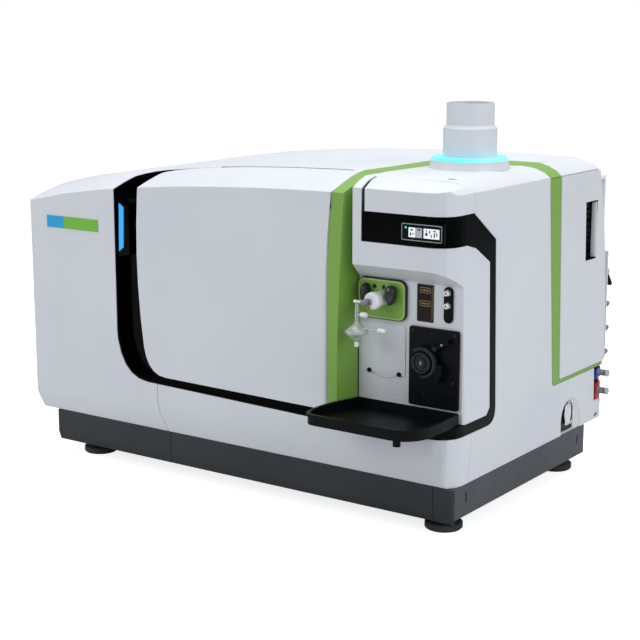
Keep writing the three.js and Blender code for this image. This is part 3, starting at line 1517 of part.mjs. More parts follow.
function rfGenerator() {
  const z0 = innerFloor + frameWall + restGap;
  const z1 = shelfZ - 30 - restGap;
  return vented(pillarX + 50, bodyRight - 60, caseFront, caseFront + generatorDepth, z0, z1);
}

function powerSupply() {
  const z0 = innerFloor + frameWall + restGap;
  const x0 = bodyLeft + 70;
  return vented(x0, x0 + 190, caseFront, plinthDepth - 125, z0, z0 + supplyHeight);
}

function toggleLatch() {
  const x0 = bodyRight - 9;
  const z = bodyFloor + 18;
  const plan = new THREE.Shape();
  plan.moveTo(latchY - 13, z);
  plan.lineTo(latchY + 13, z);
  plan.lineTo(latchY + 19, z + 26);
  plan.quadraticCurveTo(latchY + 18, z + 52, latchY, z + 54);
  plan.quadraticCurveTo(latchY - 18, z + 52, latchY - 19, z + 26);
  const plate = prismX(plan, x0, x0 + 5, 6);
  const barrel = rod(4.5, 'y', [x0 + 1, latchY - 24, z], 48, 16);
  return join(plate, barrel);
}

const trimSplit = panelSeamFoot;
const cornerStart = plinthWidth / 2 - cornerPieceWidth;
const footX = plinthWidth / 2 - footInsetX;
const footRearY = plinthDepth - footInsetY + footRearShift;

const base = section();
add(base, 'plinth_frame', plinthFrame(), steelDark);
add(base, 'plinth_trim_left', frontTrim(-plinthWidth / 2, trimSplit - seamGap), steelDark);
add(base, 'plinth_trim_right', frontTrim(trimSplit, cornerStart - seamGap), steelDark);
add(base, 'plinth_trim_corner', cornerTrim(cornerStart, plinthWidth / 2), steelDark);
add(base, 'foot_front_left', levellingFoot(-footX + footLeftShift, footInsetY), rubberDark);
add(base, 'foot_front_right', levellingFoot(footX, footInsetY), rubberDark);
add(base, 'foot_rear_left', levellingFoot(-footX + footLeftShift, footRearY), rubberDark);
add(base, 'foot_rear_right', levellingFoot(footX, footRearY), rubberDark);

const covers = section();
add(covers, 'main_cover', mainCover(), paintLight);
add(covers, 'left_side_panel', leftSidePanel(), paintLight);
add(covers, 'rear_panel', rearPanel(), paintLight);
add(covers, 'lower_front_panel', lowerFrontPanel(), paintLight);
add(covers, 'right_side_cover', rightSideCover(), paintLight);
add(covers, 'right_rear_cover', rightRearCover(), paintLight);
add(covers, 'vent_grille', ventGrille(), plasticBlack);
add(covers, 'green_pillar', greenPillar(), paintGreen);
add(covers, 'green_top_band', greenTopBand(), paintGreen);
add(covers, 'green_side_band', greenSideBand(), paintGreen);
add(covers, 'left_channel', leftChannel(), plasticBlack);
add(covers, 'bottom_channel', bottomChannel(), plasticBlack);
add(covers, 'status_light', statusLight(), glowBlue);
add(covers, 'label_plate', labelPlate(), plasticBlue);
add(covers, 'main_door', mainDoor(), paintLight, new THREE.Vector3(pivotX, pivotY, fasciaFloor));
add(covers, 'toggle_latch', toggleLatch(), chrome, new THREE.Vector3(bodyRight - 8, latchY,
  bodyFloor + 18));

const bay = section();
add(bay, 'fascia', fascia(), paintLight);
add(bay, 'visor_cap', visorCap(), paintLight);
add(bay, 'display_bezel', displayBezel(), plasticBlack);
add(bay, 'display_screen', displayScreen(), displayFace);
add(bay, 'edge_strip', edgeStrip(), plasticBlack);
add(bay, 'torch_mount_plate', torchMountPlate(), paintGreen);
add(bay, 'knob_left', knob(knobLeftX, knobWidths[0], knobHeights[0]), plasticBlack,
  new THREE.Vector3(knobLeftX, plateFront, knobZ));
add(bay, 'knob_right', knob(knobRightX, knobWidths[1], knobHeights[1]), plasticBlack,
  new THREE.Vector3(knobRightX, plateFront, knobZ));
add(bay, 'injector_end_cap', injectorEndCap(), plasticWhite);
add(bay, 'nebulizer', nebulizer(), plasticGrey);
add(bay, 'spray_chamber', sprayChamber(), glassClear);
add(bay, 'indicator_panel', indicatorPanel(), plasticBrown);
add(bay, 'sample_gas_ports', sampleGasPorts(), plasticBlack);
add(bay, 'pump_plate', pumpPlate(), plasticBlack);
add(bay, 'pump_rotor', pumpRotor(), plasticBlack, new THREE.Vector3(rotorX, bayBackY, rotorZ));
add(bay, 'pump_clamp_lever', pumpClampLever(), plasticBlack, new THREE.Vector3(leverX, bayBackY, leverZ));
add(bay, 'service_panel', servicePanel(), paintLight);
add(bay, 'drip_tray', dripTray(), plasticBlack);

const services = section();
add(services, 'exhaust_spigot', exhaustSpigot(), paintLight);
add(services, 'glow_ring', glowRing(), glowCyan);
add(services, 'gas_manifold', gasManifold(), steelBare);
add(services, 'rear_lever', rearLever(), plasticBlack, new THREE.Vector3(manifoldX, valveY, valveZ));
add(services, 'rear_handle', rearHandle(), plasticWhite);
add(services, 'water_connector_blue', waterConnector(connectorSplit,
  connectorSplit + connectorBlue), plasticBlue);
add(services, 'water_connector_red', waterConnector(noseZ + restGap, noseZ + connectorRed), plasticRed);
add(services, 'cooling_fan', coolingFan(), plasticBlack, new THREE.Vector3(fanX, rearAt(fanZ), fanZ));

const inside = section();
add(inside, 'inner_frame', innerFrame(), steelBare);
add(inside, 'torch_box', torchBox(), steelDark);
add(inside, 'plasma_torch', plasmaTorch(), glassClear);
add(inside, 'load_coil', loadCoil(), copper);
add(inside, 'cone_interface', coneInterface(), steelBare);
add(inside, 'vacuum_chamber', vacuumChamber(), aluminium);
add(inside, 'turbo_pump', turboPump(), aluminium);
add(inside, 'quadrupole', quadrupole(), steelBare);
add(inside, 'rf_generator', rfGenerator(), steelBare);
add(inside, 'power_supply', powerSupply(), steelDark);

// The whole stands with the middle of its footprint at the origin
machine.updateMatrixWorld(true);
const bounds = new THREE.Box3().setFromObject(machine);
const middle = bounds.getCenter(new THREE.Vector3());
machine.position.set(-middle.x, -middle.y, -bounds.min.z);

export default machine;
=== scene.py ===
import json
from math import cos, pi, radians, sin

import bmesh
import bpy
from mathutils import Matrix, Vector


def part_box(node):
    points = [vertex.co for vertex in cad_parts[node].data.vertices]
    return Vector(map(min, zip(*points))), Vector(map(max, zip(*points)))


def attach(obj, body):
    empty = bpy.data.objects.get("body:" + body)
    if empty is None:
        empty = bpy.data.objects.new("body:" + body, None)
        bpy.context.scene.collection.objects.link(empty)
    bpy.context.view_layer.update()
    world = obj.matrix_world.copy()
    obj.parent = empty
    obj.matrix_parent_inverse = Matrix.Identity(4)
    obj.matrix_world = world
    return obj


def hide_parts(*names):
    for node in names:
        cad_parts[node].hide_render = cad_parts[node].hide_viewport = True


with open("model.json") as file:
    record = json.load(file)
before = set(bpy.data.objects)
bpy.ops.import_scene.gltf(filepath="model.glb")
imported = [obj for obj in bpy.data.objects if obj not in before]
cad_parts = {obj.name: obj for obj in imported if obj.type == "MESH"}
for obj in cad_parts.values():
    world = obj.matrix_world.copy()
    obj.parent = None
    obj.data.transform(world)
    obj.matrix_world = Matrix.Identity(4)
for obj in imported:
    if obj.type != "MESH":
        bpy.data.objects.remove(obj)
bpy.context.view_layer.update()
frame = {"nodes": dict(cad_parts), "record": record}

MM = 0.001

# The machine's own zero: the middle of the plinth's front face, on the bench
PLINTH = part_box("plinth_frame")
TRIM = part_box("plinth_trim_left")
ZERO = Vector(((PLINTH[0][0] + PLINTH[1][0]) / 2, TRIM[0][1], 0))


def spot(x, y, z):
    """A point given in the machine's own millimetres, in the row frame's metres."""
    return ZERO + Vector((x, y, z)) * MM


def box_mm(node):
    """A node's lowest and highest corner in the machine's own millimetres."""
    return [(Vector(corner) - ZERO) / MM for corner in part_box(node)]


def middle(box):
    """The middle of a box, as x, y and z."""
    return [(low + high) / 2 for low, high in zip(*box)]


def linear(hex_colour):
    """An sRGB hex colour as linear RGBA."""
    parts = [int(hex_colour[i:i + 2], 16) / 255 for i in (1, 3, 5)]
    return (*[c / 12.92 if c <= 0.04045 else ((c + 0.055) / 1.055) ** 2.4 for c in parts], 1)


def placed(name, data):
    """A new object in the scene."""
    thing = bpy.data.objects.new(name, data)
    bpy.context.scene.collection.objects.link(thing)
    return thing


# Camera, as fitted to the photo, and light

SENSOR_MM, FOCAL_PX, PHOTO_PX = 36, 1505.9, 640
EYE, AIM = spot(1995.7, -2513.7, 1054.6), spot(224.4, 0, 417.0)


def look(thing, at):
    """Turns a camera or a light towards a point."""
    thing.rotation_euler = (at - thing.location).to_track_quat("-Z", "Y").to_euler()


lens = bpy.data.cameras.new("photo_camera")
lens.sensor_width = SENSOR_MM
lens.lens = SENSOR_MM * FOCAL_PX / PHOTO_PX
camera = placed("photo_camera", lens)
camera.location = EYE
look(camera, AIM)
bpy.context.scene.camera = camera
bpy.context.scene.view_settings.view_transform = "Standard"


def softbox(name, place, aim, size, watts):
    """A square softbox that faces a point, in metres."""
    light = bpy.data.lights.new(name, "AREA")
    light.size = size
    light.energy = watts
    box = placed(name, light)
    box.location = place
    look(box, Vector(aim))


softbox("overhead_softbox", (0.1, 0.5, 3.4), (0, 0, 0.4), 3.2, 100)
softbox("front_softbox", (-1.9, -3.4, 2.0), (0, 0, 0.4), 2.2, 47)
softbox("side_softbox", (3.6, -0.6, 1.8), (0.3, 0, 0.4), 2.2, 42)


def fill(tree, node, inputs):
    """Gives a node's inputs their values; an output, or a node for its first output, is linked."""
    for key, value in inputs.items():
        if isinstance(value, bpy.types.Node):
            value = value.outputs[0]
        if isinstance(value, bpy.types.NodeSocket):
            tree.links.new(value, node.inputs[key])
        else:
            node.inputs[key].default_value = value


def add(tree, kind, inputs=None, **settings):
    """Adds one node with its settings and inputs."""
    node = tree.nodes.new(kind)
    for key, value in settings.items():
        setattr(node, key, value)
    fill(tree, node, inputs or {})
    return node


STUDIO_GLOW = 0.42
world = bpy.data.worlds.new("white_studio")
bpy.context.scene.world = world
world.use_nodes = True
sky = world.node_tree
sky.nodes.clear()
path = add(sky, "ShaderNodeLightPath")
seen = add(sky, "ShaderNodeBackground", {"Color": (1, 1, 1, 1), "Strength": 1.0})
cast = add(sky, "ShaderNodeBackground", {"Color": linear("#F4F6FA"), "Strength": STUDIO_GLOW})
both = add(sky, "ShaderNodeMixShader", {0: path.outputs["Is Camera Ray"], 1: cast, 2: seen})
add(sky, "ShaderNodeOutputWorld", {"Surface": both})


# Materials

SHINE_PATCH_MM = 24
NOISE_LOW, NOISE_HIGH = 0.3, 0.7  # where most of a noise pattern lies


def finish_of(name):
    """A new material with its tree cleared down to a shader, an output and the piece's own coordinates."""
    material = bpy.data.materials.new(name)
    material.use_nodes = True
    tree = material.node_tree
    tree.nodes.clear()
    shader = add(tree, "ShaderNodeBsdfPrincipled")
    add(tree, "ShaderNodeOutputMaterial", {"Surface": shader})
    place = add(tree, "ShaderNodeTexCoord").outputs["Object"]
    return material, tree, shader, place


def wandering(tree, place, size_mm, low, high):
    """A number that wanders from low to high in patches about size_mm across."""
    noise = add(tree, "ShaderNodeTexNoise", {
        "Vector": place, "Scale": 1000 / size_mm / 2, "Detail": 3.0, "Roughness": 0.5})
    return add(tree, "ShaderNodeMapRange", {
        "Value": noise, "From Min": NOISE_LOW, "From Max": NOISE_HIGH, "To Min": low, "To Max": high})


def drift(tree, place, size_mm, first, second):
    """One colour drifting into another in patches about size_mm across."""
    share = wandering(tree, place, size_mm, 0, 1)
    mix = add(tree, "ShaderNodeMix", {0: share, 6: linear(first), 7: linear(second)}, data_type="RGBA")
    return mix.outputs[2]


def grained(tree, shader, place, grain_mm, depth_mm, detail=2.0):
    """Raises the surface in a grain about grain_mm wide, and gives its pattern."""
    noise = add(tree, "ShaderNodeTexNoise", {
        "Vector": place, "Scale": 1000 / grain_mm / 2, "Detail": detail, "Roughness": 0.5})
    bump = add(tree, "ShaderNodeBump", {"Height": noise, "Distance": depth_mm * MM, "Strength": 1.0})
    fill(tree, shader, {"Normal": bump})
    return noise


def coated(name, pale, deep, shine, grain_mm, depth_mm, drift_mm=160, spread=0.05, **sockets):
    """A surface with slow drift in its colour, small change in its shine and a fine grain."""
    material, tree, shader, place = finish_of(name)
    fill(tree, shader, {
        "Base Color": drift(tree, place, drift_mm, pale, deep),
        "Roughness": wandering(tree, place, SHINE_PATCH_MM, shine - spread, shine + spread)})
    grained(tree, shader, place, grain_mm, depth_mm)
    fill(tree, shader, {socket.replace("_", " "): value for socket, value in sockets.items()})
    return material


# Structural foam mouldings sprayed with satin polyurethane: even light grey with a fine leather-like grain.
# The real grain is about 0.6 mm; it is drawn at 1.6 mm so that it shows.
cover_paint = coated("satin_polyurethane_light_grey", "#D9DDE2", "#D3D7DD", 0.42, 1.6, 0.03)
# The same paint in green, a little glossier
green_paint = coated("satin_polyurethane_green", "#7FAC49", "#78A644", 0.38, 1.6, 0.03)
# The raised bead round the torch plate's face, painted a brighter green for the highlight along its edge
highlight_bead_paint = coated("painted_highlight_green_bead", "#B9DE8E", "#ADD47F", 0.3, 1.6, 0.02, drift_mm=30)
# High-gloss black ABS: near-black and mirror-like, with faint wiping haze
gloss_black = coated("gloss_black_abs", "#020203", "#030404", 0.12, 60, 0.01, spread=0.03,
                     Specular_IOR_Level=0.07)
# Powder-coated sheet steel: dark grey with the orange peel of the coat, peaks about 2 mm apart
plinth_coat = coated("powder_coat_dark_grey", "#34383C", "#2E3236", 0.46, 2.0, 0.06, Specular_IOR_Level=0.3)
# The same coat on the welded tray, painted a shade lighter than on the trims for the light falling on the
# plinth's side
plinth_lit_side_coat = coated("powder_coat_painted_lit_side", "#4C5054", "#464A4E", 0.48, 2.0, 0.06,
                          Specular_IOR_Level=0.3)
# Painted shade: near-black with hardly any shine, on the grille inside the air intake where the slot lies in
# shadow
deep_shade = coated("unlit_black", "#020203", "#030304", 0.8, 2.0, 0.02, Specular_IOR_Level=0.03)
# Moulded rubber: dull, slightly dusty black
foot_rubber = coated("moulded_rubber", "#2B2C2E", "#3A3B3C", 0.72, 1.2, 0.08, drift_mm=14)
# Spark-eroded black ABS: matt with a fine even grain
matte_black = coated("textured_black_abs", "#050608", "#07090C", 0.44, 1.4, 0.05, drift_mm=60,
                     Specular_IOR_Level=0.13)
# Filled nylon of the pump head: charcoal, waxy
pump_nylon = coated("filled_black_nylon", "#17191C", "#1F2225", 0.34, 2.2, 0.03, drift_mm=9,
                    Specular_IOR_Level=0.35)
# Blackened steel screws: dark, with a metal glint at their edges
black_steel = coated("blackened_steel", "#2A2C2F", "#35383B", 0.34, 1.2, 0.02, drift_mm=6, Metallic=0.8)
# Phenolic moulding, polished by hands: charcoal with a soft shine
knob_phenolic = coated("polished_phenolic", "#262325", "#332F32", 0.17, 9, 0.02, drift_mm=12, spread=0.03)
# The same phenolic with a diamond knurl: darker, and broken up by tiny facets
knurled_phenolic = coated("knurled_phenolic", "#141315", "#2A282B", 0.4, 1.3, 0.5, drift_mm=2.2, spread=0.14)
# Glass-filled nylon: mid grey, matt
grey_nylon = coated("glass_filled_nylon", "#8B9096", "#7E8389", 0.5, 1.0, 0.04, drift_mm=9)
# White polyoxymethylene of caps and small fittings
white_acetal = coated("white_acetal", "#F0F3F4", "#E2E6E8", 0.35, 3, 0.02, drift_mm=9)
# Paler nylon of the hose caps
pale_nylon = coated("pale_grey_nylon", "#B9BEC2", "#ABB0B5", 0.42, 2, 0.02, drift_mm=9)
# Painted shade: a darker grey for the shadow along the line pressed into the service panel
crease_shade_grey = coated("painted_crease_shade_grey", "#9BA1A8", "#949AA1", 0.5, 2, 0.01, drift_mm=12)
# Brown plugs of the drain, gone dusty
dusty_brown = coated("dusty_brown_plastic", "#5F5854", "#6C6560", 0.6, 1.4, 0.03, drift_mm=5)
# Amber rubber of the tube seal
amber_rubber = coated("amber_rubber", "#8A7A1E", "#7A6B1A", 0.45, 1.5, 0.03, drift_mm=5)
# Glossy blue and red anodised connector bodies
connector_blue = coated("blue_anodised_aluminium", "#20249C", "#2B30B8", 0.3, 1.5, 0.01, drift_mm=12,
                        Metallic=0.55)
connector_red = coated("red_anodised_aluminium", "#A5121C", "#B81C26", 0.3, 1.5, 0.01, drift_mm=12,
                       Metallic=0.55)


def brushed(name, pale, deep, shine, stretch, grain_mm, depth_mm=0.01):
    """Metal with fine lines drawn out along one axis."""
    material, tree, shader, place = finish_of(name)
    drawn = add(tree, "ShaderNodeMapping", {"Vector": place, "Scale": stretch}).outputs[0]
    grain = grained(tree, shader, drawn, grain_mm, depth_mm)
    roughness = add(tree, "ShaderNodeMapRange", {
        "Value": grain, "From Min": NOISE_LOW, "From Max": NOISE_HIGH,
        "To Min": shine - 0.06, "To Max": shine + 0.08})
    fill(tree, shader, {
        "Base Color": drift(tree, place, 30, pale, deep), "Metallic": 1.0, "Roughness": roughness})
    return material


# Zinc-plated sheet steel: cool grey, faint spangle and drawn lines
zinc_sheet = brushed("zinc_plated_sheet", "#A9AEB4", "#94999F", 0.4, (1, 1, 0.08), 1.6)
# Nickel-plated brass fittings: bright, slightly warm, turning marks round the axis
nickel_fittings = brushed("nickel_plated_brass", "#C6C5C0", "#A6A7A8", 0.24, (1, 1, 1), 0.9)
# Cast and bead-blasted aluminium: pale and matt
cast_aluminium = brushed("bead_blasted_aluminium", "#C3C6CA", "#B4B8BC", 0.46, (1, 1, 1), 1.1, 0.03)
# Drawn copper tube with a touch of heat tint
coil_copper = brushed("drawn_copper", "#C9794A", "#A85C38", 0.26, (1, 0.2, 1), 1.2)
# Polished chrome plate of the latch
latch_chrome = brushed("polished_chrome", "#E9EBEE", "#D8DBDF", 0.08, (1, 1, 0.2), 2.0, 0.004)


def lit(name, colour, strength, body):
    """A backlit moulding: its own colour with an even glow."""
    material, tree, shader, place = finish_of(name)
    fill(tree, shader, {"Base Color": drift(tree, place, 40, body, colour), "Emission Color": linear(colour),
                        "Emission Strength": strength, "Roughness": 0.35})
    return material


# Backlit polycarbonate light guides
light_blue = lit("backlit_blue_guide", "#2E9FE6", 0.46, "#2F93D6")
light_cyan = lit("backlit_cyan_guide", "#56DDF4", 0.52, "#9FE6F4")
light_green = lit("green_indicator_lens", "#2FD26A", 1.2, "#2FC060")

# Reverse-printed polyester film: a blue field, then a green one
label_film, film_tree, film_shader, film_place = finish_of("printed_polyester_film")
LABEL, BLUE_FIELD_MM = box_mm("label_plate"), 54
film_split, HAIR_M = spot(LABEL[0].x + BLUE_FIELD_MM, 0, 0).x, 0.0004
film_side = add(film_tree, "ShaderNodeMapRange", {
    "Value": add(film_tree, "ShaderNodeSeparateXYZ", {"Vector": film_place}),
    "From Min": film_split - HAIR_M, "From Max": film_split + HAIR_M, "To Min": 0.0, "To Max": 1.0})
film_colour = add(film_tree, "ShaderNodeMix", {
    0: film_side, 6: drift(film_tree, film_place, 20, "#1FA3D8", "#2AAADD"),
    7: drift(film_tree, film_place, 20, "#74B93F", "#7CC046")}, data_type="RGBA")
fill(film_tree, film_shader, {"Base Color": film_colour.outputs[2], "Roughness": 0.22})

# Tinted brown window over the indicators: deep, glossy
indicator_gloss = coated("tinted_indicator_window", "#191006", "#211607", 0.14, 30, 0.01, spread=0.03,
                         Specular_IOR_Level=0.2)
# Pale brown print of the indicators
indicator_print = coated("pale_indicator_print", "#9C8660", "#8D7851", 0.4, 3, 0.01, drift_mm=8)
# Liquid crystal display behind acrylic: near-black glass, and its lit fields
screen_glass = coated("display_glass", "#08090B", "#0C0D10", 0.1, 30, 0.005, spread=0.03,
                      Specular_IOR_Level=0.15)
screen_field = lit("lit_display_field", "#D9DEE2", 0.55, "#C9CFD4")
screen_dull = lit("dim_display_field", "#9EA4AA", 0.4, "#9097A0")
screen_mark = coated("dark_display_mark", "#3A3E44", "#4A4F56", 0.4, 4, 0.005, drift_mm=8)
# Satin aluminium line round the display
display_frame = coated("satin_grey_frame", "#8C9196", "#7C8187", 0.35, 2, 0.01, drift_mm=20, Metallic=0.4)

# Borosilicate glass, blown and etched inside so that it wets: a little milky, with bright edges
clear_glass, glass_tree, glass_shader, glass_place = finish_of("borosilicate_glass")
fill(glass_tree, glass_shader, {
    "Base Color": linear("#F3F7F4"), "Transmission Weight": 0.74, "IOR": 1.47,
    "Roughness": wandering(glass_tree, glass_place, 12, 0.02, 0.07)})
grained(glass_tree, glass_shader, glass_place, 14, 0.05, 3.0)

# Sintered PTFE: milky white that lets light a little way in
end_cap_ptfe, ptfe_tree, ptfe_shader, ptfe_place = finish_of("sintered_ptfe")
fill(ptfe_tree, ptfe_shader, {
    "Base Color": drift(ptfe_tree, ptfe_place, 10, "#F4F5F6", "#E4E7EA"), "Roughness": 0.34,
    "Subsurface Weight": 0.35, "Subsurface Scale": 0.004})
grained(ptfe_tree, ptfe_shader, ptfe_place, 1.5, 0.02, 3.0)

# Neoprene gasket behind the torch mount
gasket_rubber = coated("neoprene_gasket", "#0C0D0F", "#141619", 0.5, 1.6, 0.04, drift_mm=20)

FINISHES = {
    "cover_paint": cover_paint, "green_paint": green_paint, "gloss_black": gloss_black,
    "plinth_paint": plinth_coat, "foot_rubber": foot_rubber, "matte_black": matte_black,
    "knob_plastic": knob_phenolic, "light_blue": light_blue, "light_cyan": light_cyan,
    "label_film": label_film, "screen_glass": screen_glass, "end_cap_plastic": end_cap_ptfe,
    "grey_plastic": grey_nylon, "clear_glass": clear_glass, "indicator_gloss": indicator_gloss,
    "fitting_steel": nickel_fittings, "connector_blue": connector_blue, "connector_red": connector_red,
    "latch_chrome": latch_chrome, "zinc_sheet": zinc_sheet, "cast_aluminium": cast_aluminium,
    "coil_copper": coil_copper,
}

# Nodes whose finish is not that of their slot
# The plinth frame takes the coat painted lighter for the light on its side
NODE_FINISHES = {"plinth_frame": plinth_lit_side_coat, "vent_grille": deep_shade, "gas_manifold": cover_paint}


# Geometry trees

WELD_M, SAME_M = 0.00001, 1e-6
SHADED_BELOW, SOFTENED_ABOVE = radians(38), radians(40)


def tree_of(name, sizes):
    """A geometry tree with a geometry in and out and one named input for each size, and what these give."""
    tree = bpy.data.node_groups.new(name, "GeometryNodeTree")
    for way in ("INPUT", "OUTPUT"):
        tree.interface.new_socket("Geometry", in_out=way, socket_type="NodeSocketGeometry")
    for size, value in sizes.items():
        kind = "Material" if value is None else "Int" if isinstance(value, int) else "Float"
        socket = tree.interface.new_socket(size, in_out="INPUT", socket_type="NodeSocket" + kind)
        if value is not None:
            socket.default_value = value
    return tree, add(tree, "NodeGroupInput").outputs


def close_tree(tree, given, geometry):
    """Realize Instances, Set Material and the output."""
    real = add(tree, "GeometryNodeRealizeInstances", {"Geometry": geometry})
    dressed = add(tree, "GeometryNodeSetMaterial", {"Geometry": real, "Material": given["Material"]})
    add(tree, "NodeGroupOutput", {"Geometry": dressed})
    return tree


def swept(tree, line, radius, sides):
    """A round tube along a curve."""
    ring = add(tree, "GeometryNodeCurvePrimitiveCircle", {"Resolution": sides, "Radius": radius})
    return add(tree, "GeometryNodeCurveToMesh", {"Curve": line, "Profile Curve": ring, "Fill Caps": True})


def tree_on(piece, name, tree, sizes):
    """A modifier that puts a geometry tree on a piece, with its named inputs."""
    growth = piece.modifiers.new(name, "NODES")
    growth.node_group = tree
    for socket in tree.interface.items_tree:
        if socket.in_out == "INPUT" and socket.name in sizes:
            growth[socket.identifier] = sizes[socket.name]
    return growth


def rigged(piece, slot, hides=(), body="chassis"):
    """Smooth shading between near faces, then the piece's body and the CAD nodes it stands for, hidden; slot
    is not used.
    """
    piece.data.shade_smooth()
    piece.data.set_sharp_from_angle(angle=SHADED_BELOW)
    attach(piece, body)
    if hides:
        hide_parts(*hides)
    return piece


def grown(name, tree, start, sizes, *place, **more):
    """The plain mesh that a tree makes of a starting mesh, as a piece; place and more are rigged's."""
    piece = placed(name, start)
    growth = tree_on(piece, "growth", tree, sizes)
    graph = bpy.context.evaluated_depsgraph_get()
    mesh = bpy.data.meshes.new_from_object(piece.evaluated_get(graph), depsgraph=graph)
    piece.modifiers.remove(growth)
    piece.data = mesh
    return rigged(piece, *place, **more)


def shaped(name, shape, material):
    """An object of one material from a bmesh."""
    mesh = bpy.data.meshes.new(name)
    shape.to_mesh(mesh)
    shape.free()
    mesh.materials.append(material)
    return placed(name, mesh)


def made(name, shape, material, *place, **more):
    """A piece from a bmesh already in its place; place and more are rigged's."""
    bmesh.ops.remove_doubles(shape, verts=shape.verts, dist=SAME_M)
    bmesh.ops.recalc_face_normals(shape, faces=shape.faces)
    return rigged(shaped(name, shape, material), *place, **more)


# Forms in mm, added to a bmesh

AXES = {"x": Vector((1, 0, 0)), "y": Vector((0, 1, 0)), "z": Vector((0, 0, 1))}


def bridged(shape, rings):
    """Adds the faces from each ring of vertices to the next; a ring may be a single vertex."""
    for first, second in zip(rings, rings[1:]):
        count = max(len(first), len(second))
        for i in range(count):
            j = (i + 1) % count
            corners = [ring[k % len(ring)] for ring, k in ((first, i), (second, i), (second, j), (first, j))]
            kept = [v for k, v in enumerate(corners) if v not in corners[:k]]
            if len(kept) > 2:
                shape.faces.new(kept)
    return shape


def turned(shape, profile, axis, base, sides=40):
    """Adds a closed turned form; its profile is (radius, height) in mm along an axis from a base point."""
    along, across = AXES[axis], AXES["x" if axis == "z" else "z"]
    third = along.cross(across)
    turns = [2 * pi * i / sides for i in range(sides)]
    rings = []
    for radius, height in profile:
        centre = spot(*base) + along * height * MM
        spokes = [(across * cos(a) + third * sin(a)) * radius * MM for a in turns]
        rings.append([shape.verts.new(centre + spoke) for spoke in (spokes if radius else spokes[:1])])
    return bridged(shape, rings)


def spun(name, profile, axis, base, sides, material, *place, **more):
    """A piece of one turned form."""
    return made(name, turned(bmesh.new(), profile, axis, base, sides), material, *place, **more)


def loft(shape, rings):
    """Adds a solid through rings of equally many points, closed at both ends."""
    lines = [[shape.verts.new(spot(*point)) for point in ring] for ring in rings]
    shape.faces.new(lines[0])
    shape.faces.new(lines[-1][::-1])
    return bridged(shape, lines)


def laid(axis, outline, w):
    """An outline in the plane across an axis, at one place along it."""
    return [{"x": (w, u, v), "y": (u, w, v), "z": (u, v, w)}[axis] for u, v in outline]


def slab(shape, outline, axis, low, high):
    """Adds an outline carried from low to high along an axis."""
    return loft(shape, [laid(axis, outline, w) for w in (low, high)])


def rim(shape, outer, inner, axis, low, high):
    """Adds a frame between two outlines with equally many points."""
    rings = [[shape.verts.new(spot(*point)) for point in laid(axis, outline, w)]
             for w, outline in ((low, outer), (high, outer), (high, inner), (low, inner))]
    return bridged(shape, [*rings, rings[0]])


def rounded(u0, u1, v0, v1, radius, corner=6):
    """Outline of a rectangle with round corners, in mm."""
    points = []
    for cu, cv, start in ((u1 - radius, v0 + radius, -90), (u1 - radius, v1 - radius, 0),
                          (u0 + radius, v1 - radius, 90), (u0 + radius, v0 + radius, 180)):
        for i in range(corner + 1):
            a = radians(start + 90 * i / corner)
            points.append((cu + radius * cos(a), cv + radius * sin(a)))
    return points


def front_outline(box, grow, radius, corner=6):
    """A box's outline seen from the front, moved outwards, with round corners."""
    return rounded(box[0].x - grow, box[1].x + grow, box[0].z - grow, box[1].z + grow, radius, corner)


def softened(shape, width_mm, segments=2):
    """Rounds the sharp edges of a bmesh."""
    bmesh.ops.remove_doubles(shape, verts=shape.verts, dist=SAME_M)
    sharp = [e for e in shape.edges if len(e.link_faces) == 2 and e.calc_face_angle(0) > SOFTENED_ABOVE]
    bmesh.ops.bevel(shape, geom=sharp, offset=width_mm * MM, segments=segments, affect="EDGES", profile=0.5)
    return shape


def front_frame(name, box, outer, inner, low, high, soft_mm, material, slot):
    """A frame round a box's front; outer and inner are each (how far out, corner radius)."""
    shape = rim(bmesh.new(), front_outline(box, *outer), front_outline(box, *inner), "y", low, high)
    return made(name, softened(shape, soft_mm), material, slot)


def points_mesh(name, places, joined=False):
    """A mesh of loose points, or of points joined into a line."""
    mesh = bpy.data.meshes.new(name)
    edges = [(i, i + 1) for i in range(len(places) - 1)] if joined else []
    mesh.from_pydata([spot(*p) for p in places], edges, [])
    return mesh


def round_about(x, y, z, radius, count, start=0.0):
    """Places evenly round a point, in a plane across y."""
    turns = [start + 2 * pi * i / count for i in range(count)]
    return [(x + radius * cos(a), y, z + radius * sin(a)) for a in turns]


# CAD nodes: welded, flats joined, sharp edges softened, and shaded by face size

def eased_tree():
    """Smooth shading but for edges sharper than an angle."""
    tree, given = tree_of("ease_shading", {"Angle": radians(32)})
    welded = add(tree, "GeometryNodeMergeByDistance", {"Geometry": given["Geometry"], "Distance": WELD_M})
    faces = add(tree, "GeometryNodeSetShadeSmooth", {"Geometry": welded, "Shade Smooth": True}, domain="FACE")
    angle = add(tree, "GeometryNodeInputMeshEdgeAngle")
    sharp = add(tree, "FunctionNodeCompare", {0: angle, 1: given["Angle"]}, operation="GREATER_THAN")
    edges = add(tree, "GeometryNodeSetShadeSmooth", {
        "Geometry": faces, "Selection": sharp, "Shade Smooth": False}, domain="EDGE")
    add(tree, "NodeGroupOutput", {"Geometry": edges})
    return tree


